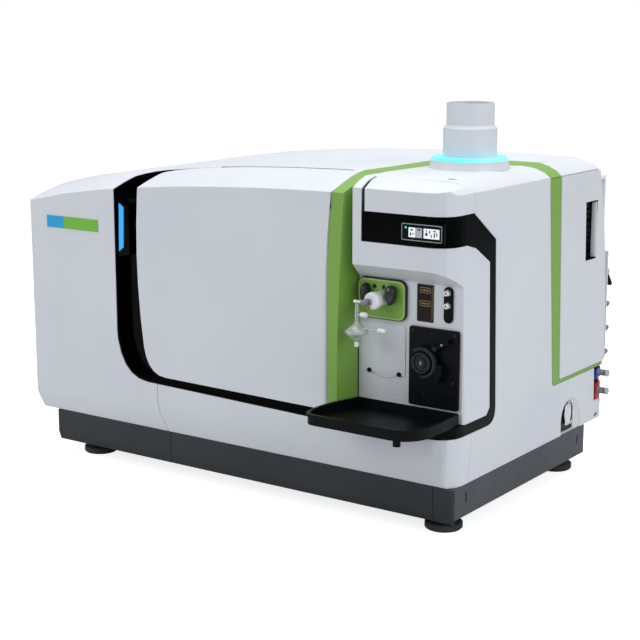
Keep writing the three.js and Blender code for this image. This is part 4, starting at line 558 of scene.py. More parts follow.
def weights_tree():
    """Stores how round each edge gets: full where front or right side meets the top, less elsewhere."""
    tree, given = tree_of("edge_rounding", {
        "Other Edges": 0.15, "Above": 0.6, "Facing Front": -0.85, "Facing Right": 0.9, "Facing Up": 0.3,
        "Fold": 0.15, "Sharp Angle": radians(45)})
    index = add(tree, "GeometryNodeInputIndex")
    normal = add(tree, "GeometryNodeInputNormal").outputs["True Normal"]
    sides = []
    for order in (0, 1):
        corner = add(tree, "GeometryNodeCornersOfEdge", {"Edge Index": index, "Sort Index": order})
        face = add(tree, "GeometryNodeFaceOfCorner", {"Corner Index": corner}).outputs["Face Index"]
        facing = add(tree, "GeometryNodeFieldAtIndex", {0: normal, 1: face},
                     data_type="FLOAT_VECTOR", domain="FACE")
        sides.append(add(tree, "ShaderNodeSeparateXYZ", {0: facing}).outputs)

    def passes(test, pick, values, limit):
        """1 where the lowest or highest of two values passes a limit."""
        picked = add(tree, "ShaderNodeMath", {0: values[0], 1: values[1]}, operation=pick)
        return add(tree, "ShaderNodeMath", {0: picked, 1: given[limit]}, operation=test)

    forward = passes("LESS_THAN", "MINIMUM", (sides[0][1], sides[1][1]), "Facing Front")
    rightward = passes("GREATER_THAN", "MAXIMUM", (sides[0][0], sides[1][0]), "Facing Right")
    upward = passes("GREATER_THAN", "MAXIMUM", (sides[0][2], sides[1][2]), "Facing Up")
    ends = add(tree, "GeometryNodeInputMeshEdgeVertices")
    heights = [add(tree, "ShaderNodeSeparateXYZ", {0: ends.outputs[k]}).outputs[2] for k in (2, 3)]
    high = passes("GREATER_THAN", "MINIMUM", heights, "Above")
    bend = add(tree, "GeometryNodeInputMeshEdgeAngle").outputs["Signed Angle"]
    folded = add(tree, "ShaderNodeMath", {0: bend, 1: given["Fold"]}, operation="GREATER_THAN")
    full = add(tree, "ShaderNodeMath", {0: forward, 1: rightward}, operation="MAXIMUM")
    for test in (upward, high, folded):
        full = add(tree, "ShaderNodeMath", {0: full, 1: test}, operation="MULTIPLY")
    sharp = add(tree, "ShaderNodeMath", {0: bend, 1: given["Sharp Angle"]}, operation="GREATER_THAN")
    less = add(tree, "ShaderNodeMath", {0: sharp, 1: given["Other Edges"]}, operation="MULTIPLY")
    weight = add(tree, "ShaderNodeMath", {0: full, 1: less}, operation="MAXIMUM")
    stored = add(tree, "GeometryNodeStoreNamedAttribute", {
        "Geometry": given["Geometry"], "Name": "bevel_weight_edge", "Value": weight},
        data_type="FLOAT", domain="EDGE")
    add(tree, "NodeGroupOutput", {"Geometry": stored})
    return tree


EASED, WEIGHTS = eased_tree(), weights_tree()


def changed(piece, kind, **settings):
    """Adds a modifier with its settings."""
    modifier = piece.modifiers.new(kind.lower(), kind)
    for key, value in settings.items():
        setattr(modifier, key, value)


def eased(piece, round_mm, top_mm):
    """Modifiers on a CAD node that join its flats, round its edges and shade them softly."""
    changed(piece, "WELD", merge_threshold=WELD_M)
    if round_mm:
        changed(piece, "DECIMATE", decimate_type="DISSOLVE", angle_limit=radians(0.4))
        tree_on(piece, "rounding", WEIGHTS, {"Other Edges": round_mm / top_mm})
        changed(piece, "BEVEL", limit_method="WEIGHT", width=top_mm * MM, segments=3,
                use_clamp_overlap=False, miter_outer="MITER_SHARP")
    tree_on(piece, "shading", EASED, {})
    if round_mm:
        changed(piece, "WEIGHTED_NORMAL", keep_sharp=True, weight=60)


# Radius in mm of a node's sharp edges, and of its edge along the top
ROUNDED = {
    "plinth_frame": (0.8, 8), "plinth_trim_left": (0.8, 8), "plinth_trim_right": (0.8, 8),
    "plinth_trim_corner": (0.8, 0.8), "main_cover": (1.4, 1.4), "main_door": (1, 1),
    "lower_front_panel": (1.4, 1.4), "right_side_cover": (1.4, 1.4), "right_rear_cover": (1.4, 1.4),
    "visor_cap": (1, 1), "green_pillar": (1, 1), "green_side_band": (1, 1), "fascia": (1, 1),
}
for entry in frame["record"]["subparts"]:
    node = entry["node"]
    piece = frame["nodes"][node]
    piece.data.materials.clear()
    piece.data.materials.append(NODE_FINISHES.get(node, FINISHES[entry["material_slot"]]))
    eased(piece, *ROUNDED.get(node, (0, 0)))


# What repeats

def screw_tree():
    """Round-headed screws with a socket, on every point, with their heads turned by two angles."""
    tree, given = tree_of("socket_screws", {
        "Radius": 0.005, "Height": 0.002, "Socket": 0.5, "Tip X": 0.0, "Tip Y": 0.0, "Material": None})
    head = add(tree, "GeometryNodeMeshCylinder", {
        "Vertices": 24, "Radius": given["Radius"], "Depth": given["Height"]})
    inset = add(tree, "GeometryNodeExtrudeMesh", {
        "Mesh": head, "Selection": head.outputs["Top"], "Offset Scale": 0.0})
    drawn = add(tree, "GeometryNodeScaleElements", {
        "Geometry": inset, "Selection": inset.outputs["Top"], "Scale": given["Socket"]})
    depth = add(tree, "ShaderNodeMath", {0: given["Height"], 1: -0.6}, operation="MULTIPLY")
    socket = add(tree, "GeometryNodeExtrudeMesh", {
        "Mesh": drawn, "Selection": inset.outputs["Top"], "Offset Scale": depth})
    turn = add(tree, "ShaderNodeCombineXYZ", {0: given["Tip X"], 1: given["Tip Y"]})
    spread = add(tree, "GeometryNodeInstanceOnPoints", {
        "Points": given["Geometry"], "Instance": socket, "Rotation": turn})
    return close_tree(tree, given, spread)


def tube_tree():
    """A round tube along the starting line."""
    tree, given = tree_of("bent_tube", {"Radius": 0.003, "Sides": 14, "Material": None})
    line = add(tree, "GeometryNodeMeshToCurve", {"Mesh": given["Geometry"]})
    return close_tree(tree, given, swept(tree, line, given["Radius"], given["Sides"]))


def coil_tree():
    """Turns of tube wound about the y axis from the middle of the first turn."""
    tree, given = tree_of("wound_tube", {
        "Turns": 3.0, "Coil Radius": 0.015, "Height": 0.02, "Tube Radius": 0.0016,
        "X": 0.0, "Y": 0.0, "Z": 0.0, "Material": None})
    line = add(tree, "GeometryNodeCurveSpiral", {
        "Resolution": 40, "Rotations": given["Turns"], "Start Radius": given["Coil Radius"],
        "End Radius": given["Coil Radius"], "Height": given["Height"]})
    place = add(tree, "ShaderNodeCombineXYZ", {axis: given[axis] for axis in "XYZ"})
    lying = add(tree, "GeometryNodeTransform", {
        "Geometry": swept(tree, line, given["Tube Radius"], 12), "Translation": place,
        "Rotation": (-pi / 2, 0, 0)})
    return close_tree(tree, given, lying)


def guard_tree():
    """Wire rings and crossed wires over a fan that blows along y, round the starting point."""
    tree, given = tree_of("finger_guard", {"Rings": 5, "Pitch": 0.011, "Wire": 0.0013, "Material": None})

    def pressed(count, instance, rotation, **inputs):
        """Instances stacked 1 m apart, which tells them apart by height, then pressed flat."""
        steps = add(tree, "GeometryNodeMeshLine", {
            "Count": count, "Start Location": (0, 0, 0), "Offset": (0, 0, 1)})
        many = add(tree, "GeometryNodeInstanceOnPoints", {"Points": steps, "Instance": instance, **inputs})
        real = add(tree, "GeometryNodeRealizeInstances", {"Geometry": many})
        return add(tree, "GeometryNodeTransform", {
            "Geometry": real, "Rotation": rotation, "Scale": (1, 1, 0)})

    place = add(tree, "GeometryNodeInputPosition")
    level = add(tree, "ShaderNodeSeparateXYZ", {0: place}).outputs[2]
    circle = add(tree, "GeometryNodeCurvePrimitiveCircle", {"Resolution": 64, "Radius": 1.0})
    wider = add(tree, "ShaderNodeMath", {0: level, 1: 1.0}, operation="ADD")
    reach = add(tree, "ShaderNodeMath", {0: wider, 1: given["Pitch"]}, operation="MULTIPLY")
    rings = pressed(given["Rings"], circle, (0, 0, 0), Scale=reach)
    span = add(tree, "ShaderNodeMath", {0: given["Rings"], 1: given["Pitch"]}, operation="MULTIPLY")
    wire = add(tree, "GeometryNodeCurvePrimitiveLine", {"End": add(tree, "ShaderNodeCombineXYZ", {0: span})})
    angle = add(tree, "ShaderNodeMath", {0: level, 1: pi / 2}, operation="MULTIPLY")
    turn = add(tree, "ShaderNodeCombineXYZ", {2: angle})
    arms = pressed(4, wire, (0, 0, pi / 4), Rotation=turn)
    wires = add(tree, "GeometryNodeJoinGeometry", {0: rings})
    fill(tree, wires, {0: arms})
    upright = add(tree, "GeometryNodeTransform", {
        "Geometry": swept(tree, wires, given["Wire"], 10), "Rotation": (pi / 2, 0, 0)})
    spread = add(tree, "GeometryNodeInstanceOnPoints", {"Points": given["Geometry"], "Instance": upright})
    return close_tree(tree, given, spread)


def louvre_tree():
    """Pressed louvres or the slots under them: a long rounded bar across x on every point."""
    tree, given = tree_of("pressed_louvres", {
        "Length": 0.18, "Radius": 0.006, "Flatness": 0.6, "Drop": 0.0, "Material": None})
    bar = add(tree, "GeometryNodeMeshCylinder", {
        "Vertices": 16, "Radius": given["Radius"], "Depth": given["Length"]})
    across = add(tree, "GeometryNodeTransform", {"Geometry": bar, "Rotation": (0, pi / 2, 0)})
    squeeze = add(tree, "ShaderNodeCombineXYZ", {0: 1.0, 1: given["Flatness"], 2: 1.0})
    lowered = add(tree, "ShaderNodeCombineXYZ", {2: given["Drop"]})
    flat = add(tree, "GeometryNodeTransform", {"Geometry": across, "Scale": squeeze, "Translation": lowered})
    spread = add(tree, "GeometryNodeInstanceOnPoints", {"Points": given["Geometry"], "Instance": flat})
    return close_tree(tree, given, spread)


SCREWS, TUBE, COIL, GUARD, LOUVRES = screw_tree(), tube_tree(), coil_tree(), guard_tree(), louvre_tree()


def screws(name, places, radius_mm, height_mm, socket, tip, material, slot, **more):
    """Screws of one size, with their heads facing along tip."""
    turns = {"-y": (pi / 2, 0.0), "y": (-pi / 2, 0.0), "x": (0.0, pi / 2)}[tip]
    return grown(name, SCREWS, points_mesh(name, places), {
        "Radius": radius_mm * MM, "Height": height_mm * MM, "Socket": socket,
        "Tip X": turns[0], "Tip Y": turns[1], "Material": material}, slot, **more)


def tube(name, places, radius_mm, material, *place, **more):
    """A round tube through points in mm."""
    return grown(name, TUBE, points_mesh(name, places, joined=True), {
        "Radius": radius_mm * MM, "Material": material}, *place, **more)


def skin(node, start, toward):
    """Where a line first meets a CAD node, in the machine's millimetres."""
    met, place, _, _ = frame["nodes"][node].ray_cast(spot(*start), Vector(toward))
    return (place - ZERO) / MM if met else Vector(start)

# Torch mount

PLATE, CAP = box_mm("torch_mount_plate"), box_mm("injector_end_cap")
CAP_X, _, CAP_Z = middle(CAP)
front_frame("torch_gasket", PLATE, (1.9, 16.9), (-0.4, 14.6), PLATE[0].y + 1.4, PLATE[1].y + 0.2, 0.8,
            gasket_rubber, "matte_black")
sights = bmesh.new()
for across in (40, 62):
    turned(sights, [(0, 0.6), (2.6, 0.6), (3, 0), (4.2, 0), (4.6, 0.5), (4.6, 1.4), (0, 1.4)], "y",
           (PLATE[0].x + across, PLATE[0].y - 0.6, PLATE[1].z - 15), 28)
made("sight_hole_rims", sights, gasket_rubber, "matte_black")
# A raised bead round the plate's face, in the painted highlight green
front_frame("torch_plate_bead", PLATE, (-1.0, 14), (-2.8, 12.2), PLATE[0].y - 0.7, PLATE[0].y + 0.3, 0.3,
            highlight_bead_paint, "green_paint")

KNOB_SIDES = 96


def egg_knob(name, node, fuller, ribs, material):
    """An oval grip, fuller at the top, on its round stem; ribs cut its side into a knurl."""
    low, high = box_mm(node)
    centre_x, _, centre_z = middle((low, high))
    half_x, half_z = (high.x - low.x) / 2, (high.z - low.z) / 2
    shape = bmesh.new()
    rings = []
    for share, depth in ((0, 0), (0.3, 0.25), (0.58, 0.9), (0.78, 2.2), (0.92, 4.6), (0.99, 8.2), (1, 12),
                         (0.97, 17), (0.9, 20), (0.78, 21.6), (0.5, 22), (0, 22)):
        ring = []
        for i in range(KNOB_SIDES if share else 1):
            a = 2 * pi * i / KNOB_SIDES
            cut = 1 - (0.05 if ribs and i % 4 < 2 and 0.7 < share else 0)
            x = half_x * share * cut * cos(a) * (1 + fuller * sin(a)) / (1 + fuller * 0.5)
            z = half_z * share * cut * sin(a)
            ring.append(shape.verts.new(spot(centre_x + x, low.y + depth, centre_z + z)))
        rings.append(ring)
    bridged(shape, rings)
    turned(shape, [(0, 0), (4, 0), (4, 5), (0, 5)], "y", (centre_x, low.y + 21.5, centre_z), 24)
    made(name, shape, material, "knob_plastic", (node,), node)


egg_knob("knurled_knob", "knob_left", 0.0, True, knurled_phenolic)
egg_knob("polished_knob", "knob_right", 0.22, False, knob_phenolic)

spun("end_cap", [
    (0, 1.0), (9.2, 1.0), (9.8, 0.2), (10.6, 0), (14.6, 0), (16.8, 1.0), (18, 3.4), (18, 13.4), (17.2, 15),
    (16, 15.8), (16, 52), (0, 52),
], "y", (CAP_X, CAP[0].y, CAP_Z), 64, end_cap_ptfe, "end_cap_plastic", ("injector_end_cap",))
spun("cap_centre", [(0, 0), (3.4, 0), (6.6, 0.6), (7.2, 1.4), (7.2, 2.6), (0, 2.6)],
     "y", (CAP_X - 4, CAP[0].y - 0.2, CAP_Z - 2), 40, grey_nylon, "grey_plastic")

# Nebulizer with its gas arm

JET = box_mm("nebulizer")
JET_X, JET_Z = CAP_X - 11, CAP_Z - 2
spun("nebulizer_stem", [
    (0, 0), (1.8, 0), (2.4, 0.6), (2.4, 3.2), (3.2, 3.8), (3.2, 8.2), (5.2, 9.4), (6, 10.2), (6, 12.8),
    (5.4, 13.4), (5.4, 14.6), (6, 15.2), (6, 21), (0, 21),
], "y", (JET_X, JET[0].y, JET_Z), 40, grey_nylon, "grey_plastic", ("nebulizer",))
spun("nebulizer_gas_arm", [
    (0, 0), (2, 0), (3.4, 0.8), (3.4, 6), (2.6, 6.6), (2.6, 15), (3.4, 15.8), (3.4, 22), (0, 22),
], "x", (JET[0].x, JET[1].y - 8, JET_Z), 32, white_acetal, "grey_plastic", ("nebulizer",))
spun("amber_seal", [(4.2, 0), (6.4, 0), (7.2, 0.8), (7.2, 2.8), (6.4, 3.6), (4.2, 3.6), (4.2, 0)],
     "y", (JET_X + 3, JET[1].y - 4.5, JET_Z - 12), 28, amber_rubber, "grey_plastic")

# Spray chamber: blown glass with pushed-on caps

BOWL = box_mm("spray_chamber")
BOWL_X, BOWL_Y = CAP_X - 28, middle(BOWL)[1]
MID = BOWL[0].z + 31
outside = [
    (0, -26.4), (2.4, -26.2), (3.6, -24.6), (3.8, -20), (5, -17.6), (9, -14), (16, -8.8), (22.6, -3.8),
    (24.1, -1.8), (24.5, 0), (24.1, 1.8), (22.6, 3.8), (16, 9), (9, 14.8), (5.6, 18.2), (4.3, 21.4), (4, 26),
    (4, 57.4), (3.4, 58.8), (2.8, 59.2),
]
inside = [(2.6, 57), (2.6, 26), (3, 21.6), (4.6, 17.4), (15.2, 8.2), (21.6, 3.2), (23, 0), (21.6, -3.2),
          (15.2, -8), (4, -16.6), (2.4, -20), (1.6, -24.4), (0, -24.8)]
chamber = turned(bmesh.new(), [*outside, *inside], "z", (BOWL_X, BOWL_Y, MID), 64)
for reach, level, bore in ((18, 37, 3), (50, 9, 2.6)):
    turned(chamber, [(0, 0), (bore, 0), (bore, reach), (bore - 1.1, reach), (bore - 1.1, 1.2), (0, 1.2)],
           "x", (BOWL_X + 3.4, BOWL_Y, MID + level), 32)
made("blown_chamber", chamber, clear_glass, "clear_glass", ("spray_chamber",))
caps = bmesh.new()
turned(caps, [(0, 0), (4.6, 0), (5.3, 0.7), (5.5, 2), (5.5, 12.6), (4.9, 13.8), (4, 14), (0, 14)],
       "x", (BOWL_X + 10, BOWL_Y, MID + 37))
turned(caps, [(0, 0), (3.8, 0), (4.4, 0.6), (4.5, 1.8), (4.5, 14.6), (3.9, 15.8), (3, 16), (0, 16)],
       "x", (BOWL_X + 52, BOWL_Y, MID + 9))
turned(caps, [(0, 0), (4, 0), (4.7, 0.6), (4.8, 1.6), (4.8, 8.6), (4.2, 9.4), (0, 9.4)],
       "z", (BOWL_X, BOWL_Y, BOWL[0].z))
made("chamber_caps", caps, white_acetal, "clear_glass", ("spray_chamber",))

# Display

SCREEN = box_mm("display_screen")
FACE_Y = SCREEN[0].y


def on_screen(shape, left, right, top, bottom, proud=0.12, radius=0.8):
    """A thin printed field on the display, measured from its top left corner."""
    x, z = SCREEN[0].x, SCREEN[1].z
    outline = rounded(x + left, x + right, z - bottom, z - top, radius, 3)
    return slab(shape, outline, "y", FACE_Y - proud, FACE_Y + 0.1)


front_frame("display_frame", SCREEN, (1, 3), (-0.9, 1.6), FACE_Y - 0.7, FACE_Y + 0.8, 0.25,
            display_frame, "screen_glass")
fields = bmesh.new()
for left, right in ((15.5, 31.5), (50, 86)):
    on_screen(fields, left, right, 6.5, 26)
made("display_fields", fields, screen_field, "screen_glass")
made("display_dull_field", on_screen(bmesh.new(), 32.5, 46.5, 6.5, 26), screen_dull, "screen_glass")
marks = bmesh.new()
for left, top, wide, tall in ((20, 9, 5, 4.4), (18.6, 16.4, 3, 7), (23, 18, 5.6, 2.2), (36, 8.6, 7, 3.2),
                              (53.4, 14, 6, 7), (55, 9, 2.6, 3.4), (62.4, 9.6, 3.2, 6), (66.4, 17, 2.4, 6.4),
                              (72, 9, 5.6, 3), (73.4, 13.4, 2.8, 10), (79, 12, 2.2, 8.4)):
    on_screen(marks, left, left + wide, top, top + tall, 0.2, min(wide, tall) * 0.45)
made("display_marks", marks, screen_mark, "screen_glass")
spun("ready_lamp", [(0, 0), (1.2, 0.1), (2, 0.5), (2.3, 1.2), (0, 1.2)], "y",
     (SCREEN[0].x + 9, FACE_Y - 1, SCREEN[1].z - 7.5), 24, light_green, "screen_glass")

# Indicator window

WINDOW = box_mm("indicator_panel")
WINDOW_X = middle(WINDOW)[0]
PRINT = ("y", WINDOW[0].y - 0.25, WINDOW[0].y + 0.1)
prints = bmesh.new()
for drop in (10.8, 37.5):
    z = WINDOW[1].z - drop
    rim(prints, rounded(WINDOW_X - 12.6, WINDOW_X + 12.6, z - 5.8, z + 5.8, 2.4),
        rounded(WINDOW_X - 11.5, WINDOW_X + 11.5, z - 4.7, z + 4.7, 1.4), *PRINT)
    for left, right in ((-8.6, -6.2), (-4.6, -1.2), (0.4, 3.2), (4.8, 8.4)):
        slab(prints, rounded(WINDOW_X + left, WINDOW_X + right, z - 1.9, z + 1.7, 0.9, 3), *PRINT)
slab(prints, rounded(WINDOW[1].x - 1.9, WINDOW[1].x - 1.1, WINDOW[0].z + 3, WINDOW[1].z - 3, 0.3, 2), *PRINT)
made("indicator_prints", prints, indicator_print, "indicator_gloss")
front_frame("indicator_frame", WINDOW, (1.4, 1.6), (0.1, 0.6), WINDOW[0].y - 0.5, WINDOW[1].y + 0.1, 0.25,
            gasket_rubber, "matte_black")

# Gas ports

PORTS = box_mm("sample_gas_ports")
PORT_X = middle(PORTS)[0]
port_plate = slab(bmesh.new(), front_outline(PORTS, 0, 10.4, 10), "y", PORTS[1].y - 3.4, PORTS[1].y)
made("port_plate", softened(port_plate, 0.7), matte_black, "matte_black", ("sample_gas_ports",))
nuts, barrels, bores = bmesh.new(), bmesh.new(), bmesh.new()
for level in (36, 62):
    place = (PORT_X, PORTS[0].y - 1.4, PORTS[0].z + level)
    turned(nuts, [(5, 8.6), (6.2, 8), (7.4, 8.8), (7.4, 12.6), (5, 12.6), (5, 8.6)], "y", place, 6)
    turned(nuts, [(5, 5), (6, 5.6), (6, 7.4), (5, 8), (5, 5)], "y", place, 28)
    turned(barrels, [(2, 3.6), (2, 0.6), (2.6, 0), (4.4, 0), (5.3, 0.9), (5.3, 12.4), (0, 12.4), (0, 3.6)],
           "y", place, 32)
    turned(bores, [(0, 0.9), (1.3, 0.8), (1.9, 1.2), (1.9, 3.4), (0, 3.4)], "y", place, 20)
made("port_nuts", nuts, nickel_fittings, "fitting_steel", ("sample_gas_ports",))
made("port_barrels", barrels, white_acetal, "fitting_steel", ("sample_gas_ports",))
# The bores are black plugs inside the barrels: painted shade in the holes
made("port_bores", bores, gasket_rubber, "matte_black")

# Peristaltic pump

ROTOR = box_mm("pump_rotor")
ROTOR_X, _, ROTOR_Z = middle(ROTOR)
spun("rotor_head", [
    (0, 0.8), (6.6, 0.8), (7.4, 0), (9.4, 0), (10.2, 0.9), (10.2, 3), (11, 3.8), (15.6, 3.8), (16.4, 3),
    (17, 0.8), (17.8, 0), (20.8, 0), (22, 1.2), (22, 18.8), (20.8, 20), (6, 20), (6, 34), (0, 34),
], "y", (ROTOR_X, ROTOR[0].y, ROTOR_Z), 72, pump_nylon, "matte_black", ("pump_rotor",), "pump_rotor")
drive = slab(bmesh.new(), [
    (ROTOR_X + 3, ROTOR_Z), (ROTOR_X, ROTOR_Z + 6), (ROTOR_X - 3, ROTOR_Z), (ROTOR_X, ROTOR_Z - 6)],
    "y", ROTOR[0].y - 0.2, ROTOR[0].y + 2)
made("rotor_drive", softened(drive, 0.4), grey_nylon, "matte_black", body="pump_rotor")
screws("roller_pins", round_about(ROTOR_X, ROTOR[0].y - 0.2, ROTOR_Z, 19.4, 8), 1.5, 1.2, 0.45, "-y",
       black_steel, "matte_black", body="pump_rotor")
bed_section = ((25, 13), (25, 4), (26.4, 2.8), (31, 2.8), (32.4, 4), (32.4, 13))
arcs = [radians(-95 + 225 * i / 30) for i in range(31)]
bed = loft(bmesh.new(), [[(ROTOR_X + r * cos(a), ROTOR[0].y + y, ROTOR_Z + r * sin(a))
                          for r, y in bed_section] for a in arcs])
made("tube_bed", bed, pump_nylon, "matte_black")
PUMP = box_mm("pump_plate")
screws("pump_plate_screws", [(PUMP[0].x + x, PUMP[1].y - 6.4, PUMP[0].z + z)
       for x, z in ((36, 25), (105, 57), (9, 155), (108, 155))], 3.2, 1.8, 0.5, "-y",
       black_steel, "matte_black")
LEVER = box_mm("pump_clamp_lever")
screws("lever_screw", [(LEVER[0].x + 24, LEVER[0].y - 0.3, LEVER[0].z + 17)], 2.4, 2, 0.55, "-y",
       nickel_fittings, "matte_black", body="pump_clamp_lever")
screws("lever_pin", [(LEVER[0].x + 7, LEVER[0].y - 0.6, LEVER[0].z + 7)], 4.2, 2, 0.4, "-y",
       pump_nylon, "matte_black", body="pump_clamp_lever")

# Service panel: quarter-turn screws, and the shallow finger dip between them drawn as a line of painted shade

SERVICE = box_mm("service_panel")
screws("quarter_turn_screws", [
    (SERVICE[0].x + 21, SERVICE[0].y - 1, SERVICE[0].z + 2.7),
    (SERVICE[1].x - 14, SERVICE[0].y - 1, SERVICE[0].z + 2.3)], 5, 2.6, 0.42, "-y",
    matte_black, "matte_black")
dip = [(SERVICE[0].x + 22 + 70 * t, SERVICE[1].y + 0.1, SERVICE[0].z + 3 - 12.5 * sin(pi * t) ** 0.7)
       for t in [i / 24 for i in range(25)]]
# The crease is a thin tube in the painted shade grey
tube("panel_crease", dip, 0.55, crease_shade_grey, "cover_paint")

# Latch: a chromed bow over a leaf-shaped lever, in an arched pocket that is deepest at its front edge

LATCH = box_mm("toggle_latch")
LATCH_Y, LATCH_Z = middle(LATCH)[1], LATCH[0].z + 4.5
POCKET_TOP, POCKET_HALF, POCKET_FOOT = LATCH_Z + 60, 48, box_mm("plinth_frame")[1].z + 1.2


def arch(half, top, shift, foot):
    """Outline of an arched opening round the latch, in (y, z)."""
    turns = [pi * i / 20 for i in range(21)]
    bow = [(LATCH_Y + shift + half * cos(a), top - half + half * sin(a)) for a in turns]
    return [(LATCH_Y + shift + half, foot), *bow, (LATCH_Y + shift - half, foot)]


def cover_x(y, z):
    """How far out the right cover stands at a height."""
    return skin("right_side_cover", (LATCH[1].x + 60, y, z), (-1, 0, 0)).x


lip = min(cover_x(LATCH_Y - POCKET_HALF - 6, z) for z in (POCKET_FOOT + 8, POCKET_TOP)) - 0.5
floor_x = LATCH[0].x + 0.9
edge_ring = arch(POCKET_HALF + 0.3, POCKET_TOP, 0, POCKET_FOOT)
far_ring = arch(38, POCKET_TOP - 12, -8, POCKET_FOOT + 1)
mouth_ring = arch(POCKET_HALF - 0.5, POCKET_TOP - 0.8, 0, POCKET_FOOT + 0.6)
liner = bmesh.new()
walls = [[liner.verts.new(spot(*point)) for point in laid("x", ring, x)]
         for x, ring in ((lip, edge_ring), (floor_x, edge_ring), (floor_x, far_ring), (lip, mouth_ring))]
made("latch_pocket", bridged(liner, [*walls, walls[0]]), cover_paint, "cover_paint")
# A black plate at the back of the pocket: painted shade for the deep recess behind the latch
made("latch_shade", slab(bmesh.new(), arch(POCKET_HALF - 2, POCKET_TOP - 2, 0, POCKET_FOOT + 0.3), "x",
     LATCH[0].x + 0.3, LATCH[0].x + 1.2), gasket_rubber, "matte_black")

leaf = [(-7, -2.4), (4, -2.4), (9, 7), (12.5, 22), (12, 36), (7, 46), (-2, 50.5), (-12, 47), (-19, 36),
        (-20.5, 22), (-15, 4)]
lever = slab(bmesh.new(), [(LATCH_Y + y, LATCH_Z + z) for y, z in leaf], "x",
             LATCH[0].x + 3.6, LATCH[0].x + 7.6)
turned(lever, [(0, 0), (2.6, 0), (3.4, 0.9), (3.4, 33.1), (2.6, 34), (0, 34)], "y",
       (LATCH[0].x + 4.6, LATCH_Y - 14, LATCH_Z), 32)
made("latch_lever", softened(lever, 1.5, 3), latch_chrome, "latch_chrome", ("toggle_latch",), "toggle_latch")
bow = [(20, 1), (22, 9), (24.5, 22), (24, 34), (19, 44), (10, 51), (0, 53), (-9, 51)]
tube("latch_bow", [(LATCH[1].x - 3.6, LATCH_Y + y, LATCH_Z + z) for y, z in bow], 3.2, latch_chrome,
     "latch_chrome", body="toggle_latch")

# Rear services

for colour, paint in (("blue", connector_blue), ("red", connector_red)):
    node = "water_connector_" + colour
    low, high = box_mm(node)
    shoulder = min(9, (high.z - low.z) / 4)
    block = slab(bmesh.new(), [
        (low.y, low.z), (high.y, low.z), (high.y, high.z - shoulder / 2), (high.y - 4, high.z),
        (high.y - 14, high.z), (low.y, high.z - shoulder)], "x", low.x, low.x + 22)
    made(colour + "_port_block", softened(block, 1.2), paint, "connector_" + colour, (node,))
    base = (low.x + 21, *middle((low, high))[1:])
    spun(colour + "_hose_stem", [
        (0, 0), (8.2, 0), (8.2, 5), (7.4, 5.8), (7.4, 8.6), (8, 9.4), (7.4, 11.4), (7.4, 13), (8, 13.8),
        (7.4, 15.8), (7.4, 18), (0, 18)], "x", base, 40, grey_nylon, "connector_" + colour, (node,))
    spun(colour + "_hose_ring", [(0, 17.6), (6.8, 17.6), (6.8, 21.4), (0, 21.4)], "x", base, 40,
         gasket_rubber, "matte_black", (node,))
    spun(colour + "_hose_cap", [
        (0, 20.8), (7.6, 20.8), (8.5, 21.4), (8.5, 26), (7.6, 27), (4.4, 27), (4, 26), (0, 26)],
        "x", base, 40, pale_nylon, "connector_" + colour, (node,))

MANIFOLD = box_mm("gas_manifold")
MANIFOLD_X = middle(MANIFOLD)[0]
tails = bmesh.new()
for share in (0.04, 0.266, 0.492):
    place = (MANIFOLD_X, MANIFOLD[0].y + 4, MANIFOLD[0].z + share * (MANIFOLD[1].z - MANIFOLD[0].z))
    turned(tails, [(5, 0.4), (9.8, 0.4), (10.6, 1.2), (10.6, 8.6), (9.8, 9.4), (5.6, 9.4), (5.6, 0.4)],
           "y", place, 6)
    turned(tails, [(5.4, 9), (5.6, 20), (7.1, 21), (5.4, 25), (7.1, 26), (5.2, 31), (5.2, 32.6), (3, 32.6),
                   (3, 9), (5.4, 9)], "y", place, 28)
made("gas_hose_tails", tails, grey_nylon, "fitting_steel")

PIVOT = box_mm("rear_lever")
pivot_y, pivot_z = PIVOT[0].y + 5.9, PIVOT[1].z - 6
grip = slab(bmesh.new(), [(pivot_y + y, pivot_z + z) for y, z in ((-7, -7), (7, -7), (7, 7), (-7, 7))],
            "x", MANIFOLD_X - 5, MANIFOLD_X + 7)
grip_ends = (MANIFOLD_X + 1.5, pivot_y + 3, pivot_z - 4), (MANIFOLD_X + 5, pivot_y + 21, PIVOT[0].z + 3)
loft(grip, [[(x - 4, y - 4, z - 2), (x + 5, y - 4, z - 2), (x + 5, y + 4, z + 2), (x - 4, y + 4, z + 2)]
            for x, y, z in grip_ends])
made("lever_grip", softened(grip, 1.2), matte_black, "matte_black", ("rear_lever",), "rear_lever")
spun("lever_pin_rear", [(0, 0), (2.4, 0), (3, 0.6), (3, 21.4), (2.4, 22), (0, 22)], "x",
     (MANIFOLD_X - 11, pivot_y, pivot_z), 24, nickel_fittings, "matte_black", ("rear_lever",), "rear_lever")

# A folded sill closes the floor between the inner frame and the rear panel

INNER = box_mm("inner_frame")
sill_front, sill_z = INNER[1].y + 0.3, INNER[0].z + 2.2
sill_rear = skin("rear_panel", (-100, INNER[1].y - 30, INNER[0].z + 3), (0, 1, 0)).y - 0.3
sill = slab(bmesh.new(), [
    (sill_front, sill_z), (sill_rear, sill_z), (sill_rear, sill_z + 1.4), (sill_front + 1.4, sill_z + 1.4),
    (sill_front + 1.4, sill_z + 15), (sill_front, sill_z + 15)], "x", INNER[0].x + 1, INNER[1].x - 1)
made("rear_sill", softened(sill, 0.4), zinc_sheet, "zinc_sheet")

DRAIN_Y, DRAIN_Z = 661, 115.5
drains = bmesh.new()
drain_x = box_mm("water_connector_red")[0].x + 18
for along in (0, 7.5):
    turned(drains, [(0, 0), (3, 0), (3.4, 0.5), (3.4, 5.4), (2.6, 6), (1.4, 6), (1.4, 5), (0, 5)], "x",
           (drain_x, DRAIN_Y + along, DRAIN_Z + 0.3 * along), 24)
made("drain_plugs", drains, dusty_brown, "matte_black")

# Air intake: the slot's rear wall rolls over into the cover, and its floor lies in the dark

VENT = box_mm("vent_grille")
VENT_REAR, VENT_FLOOR, ROLL = VENT[1].y + 0.6, VENT[1].x - 11.8, 6.6


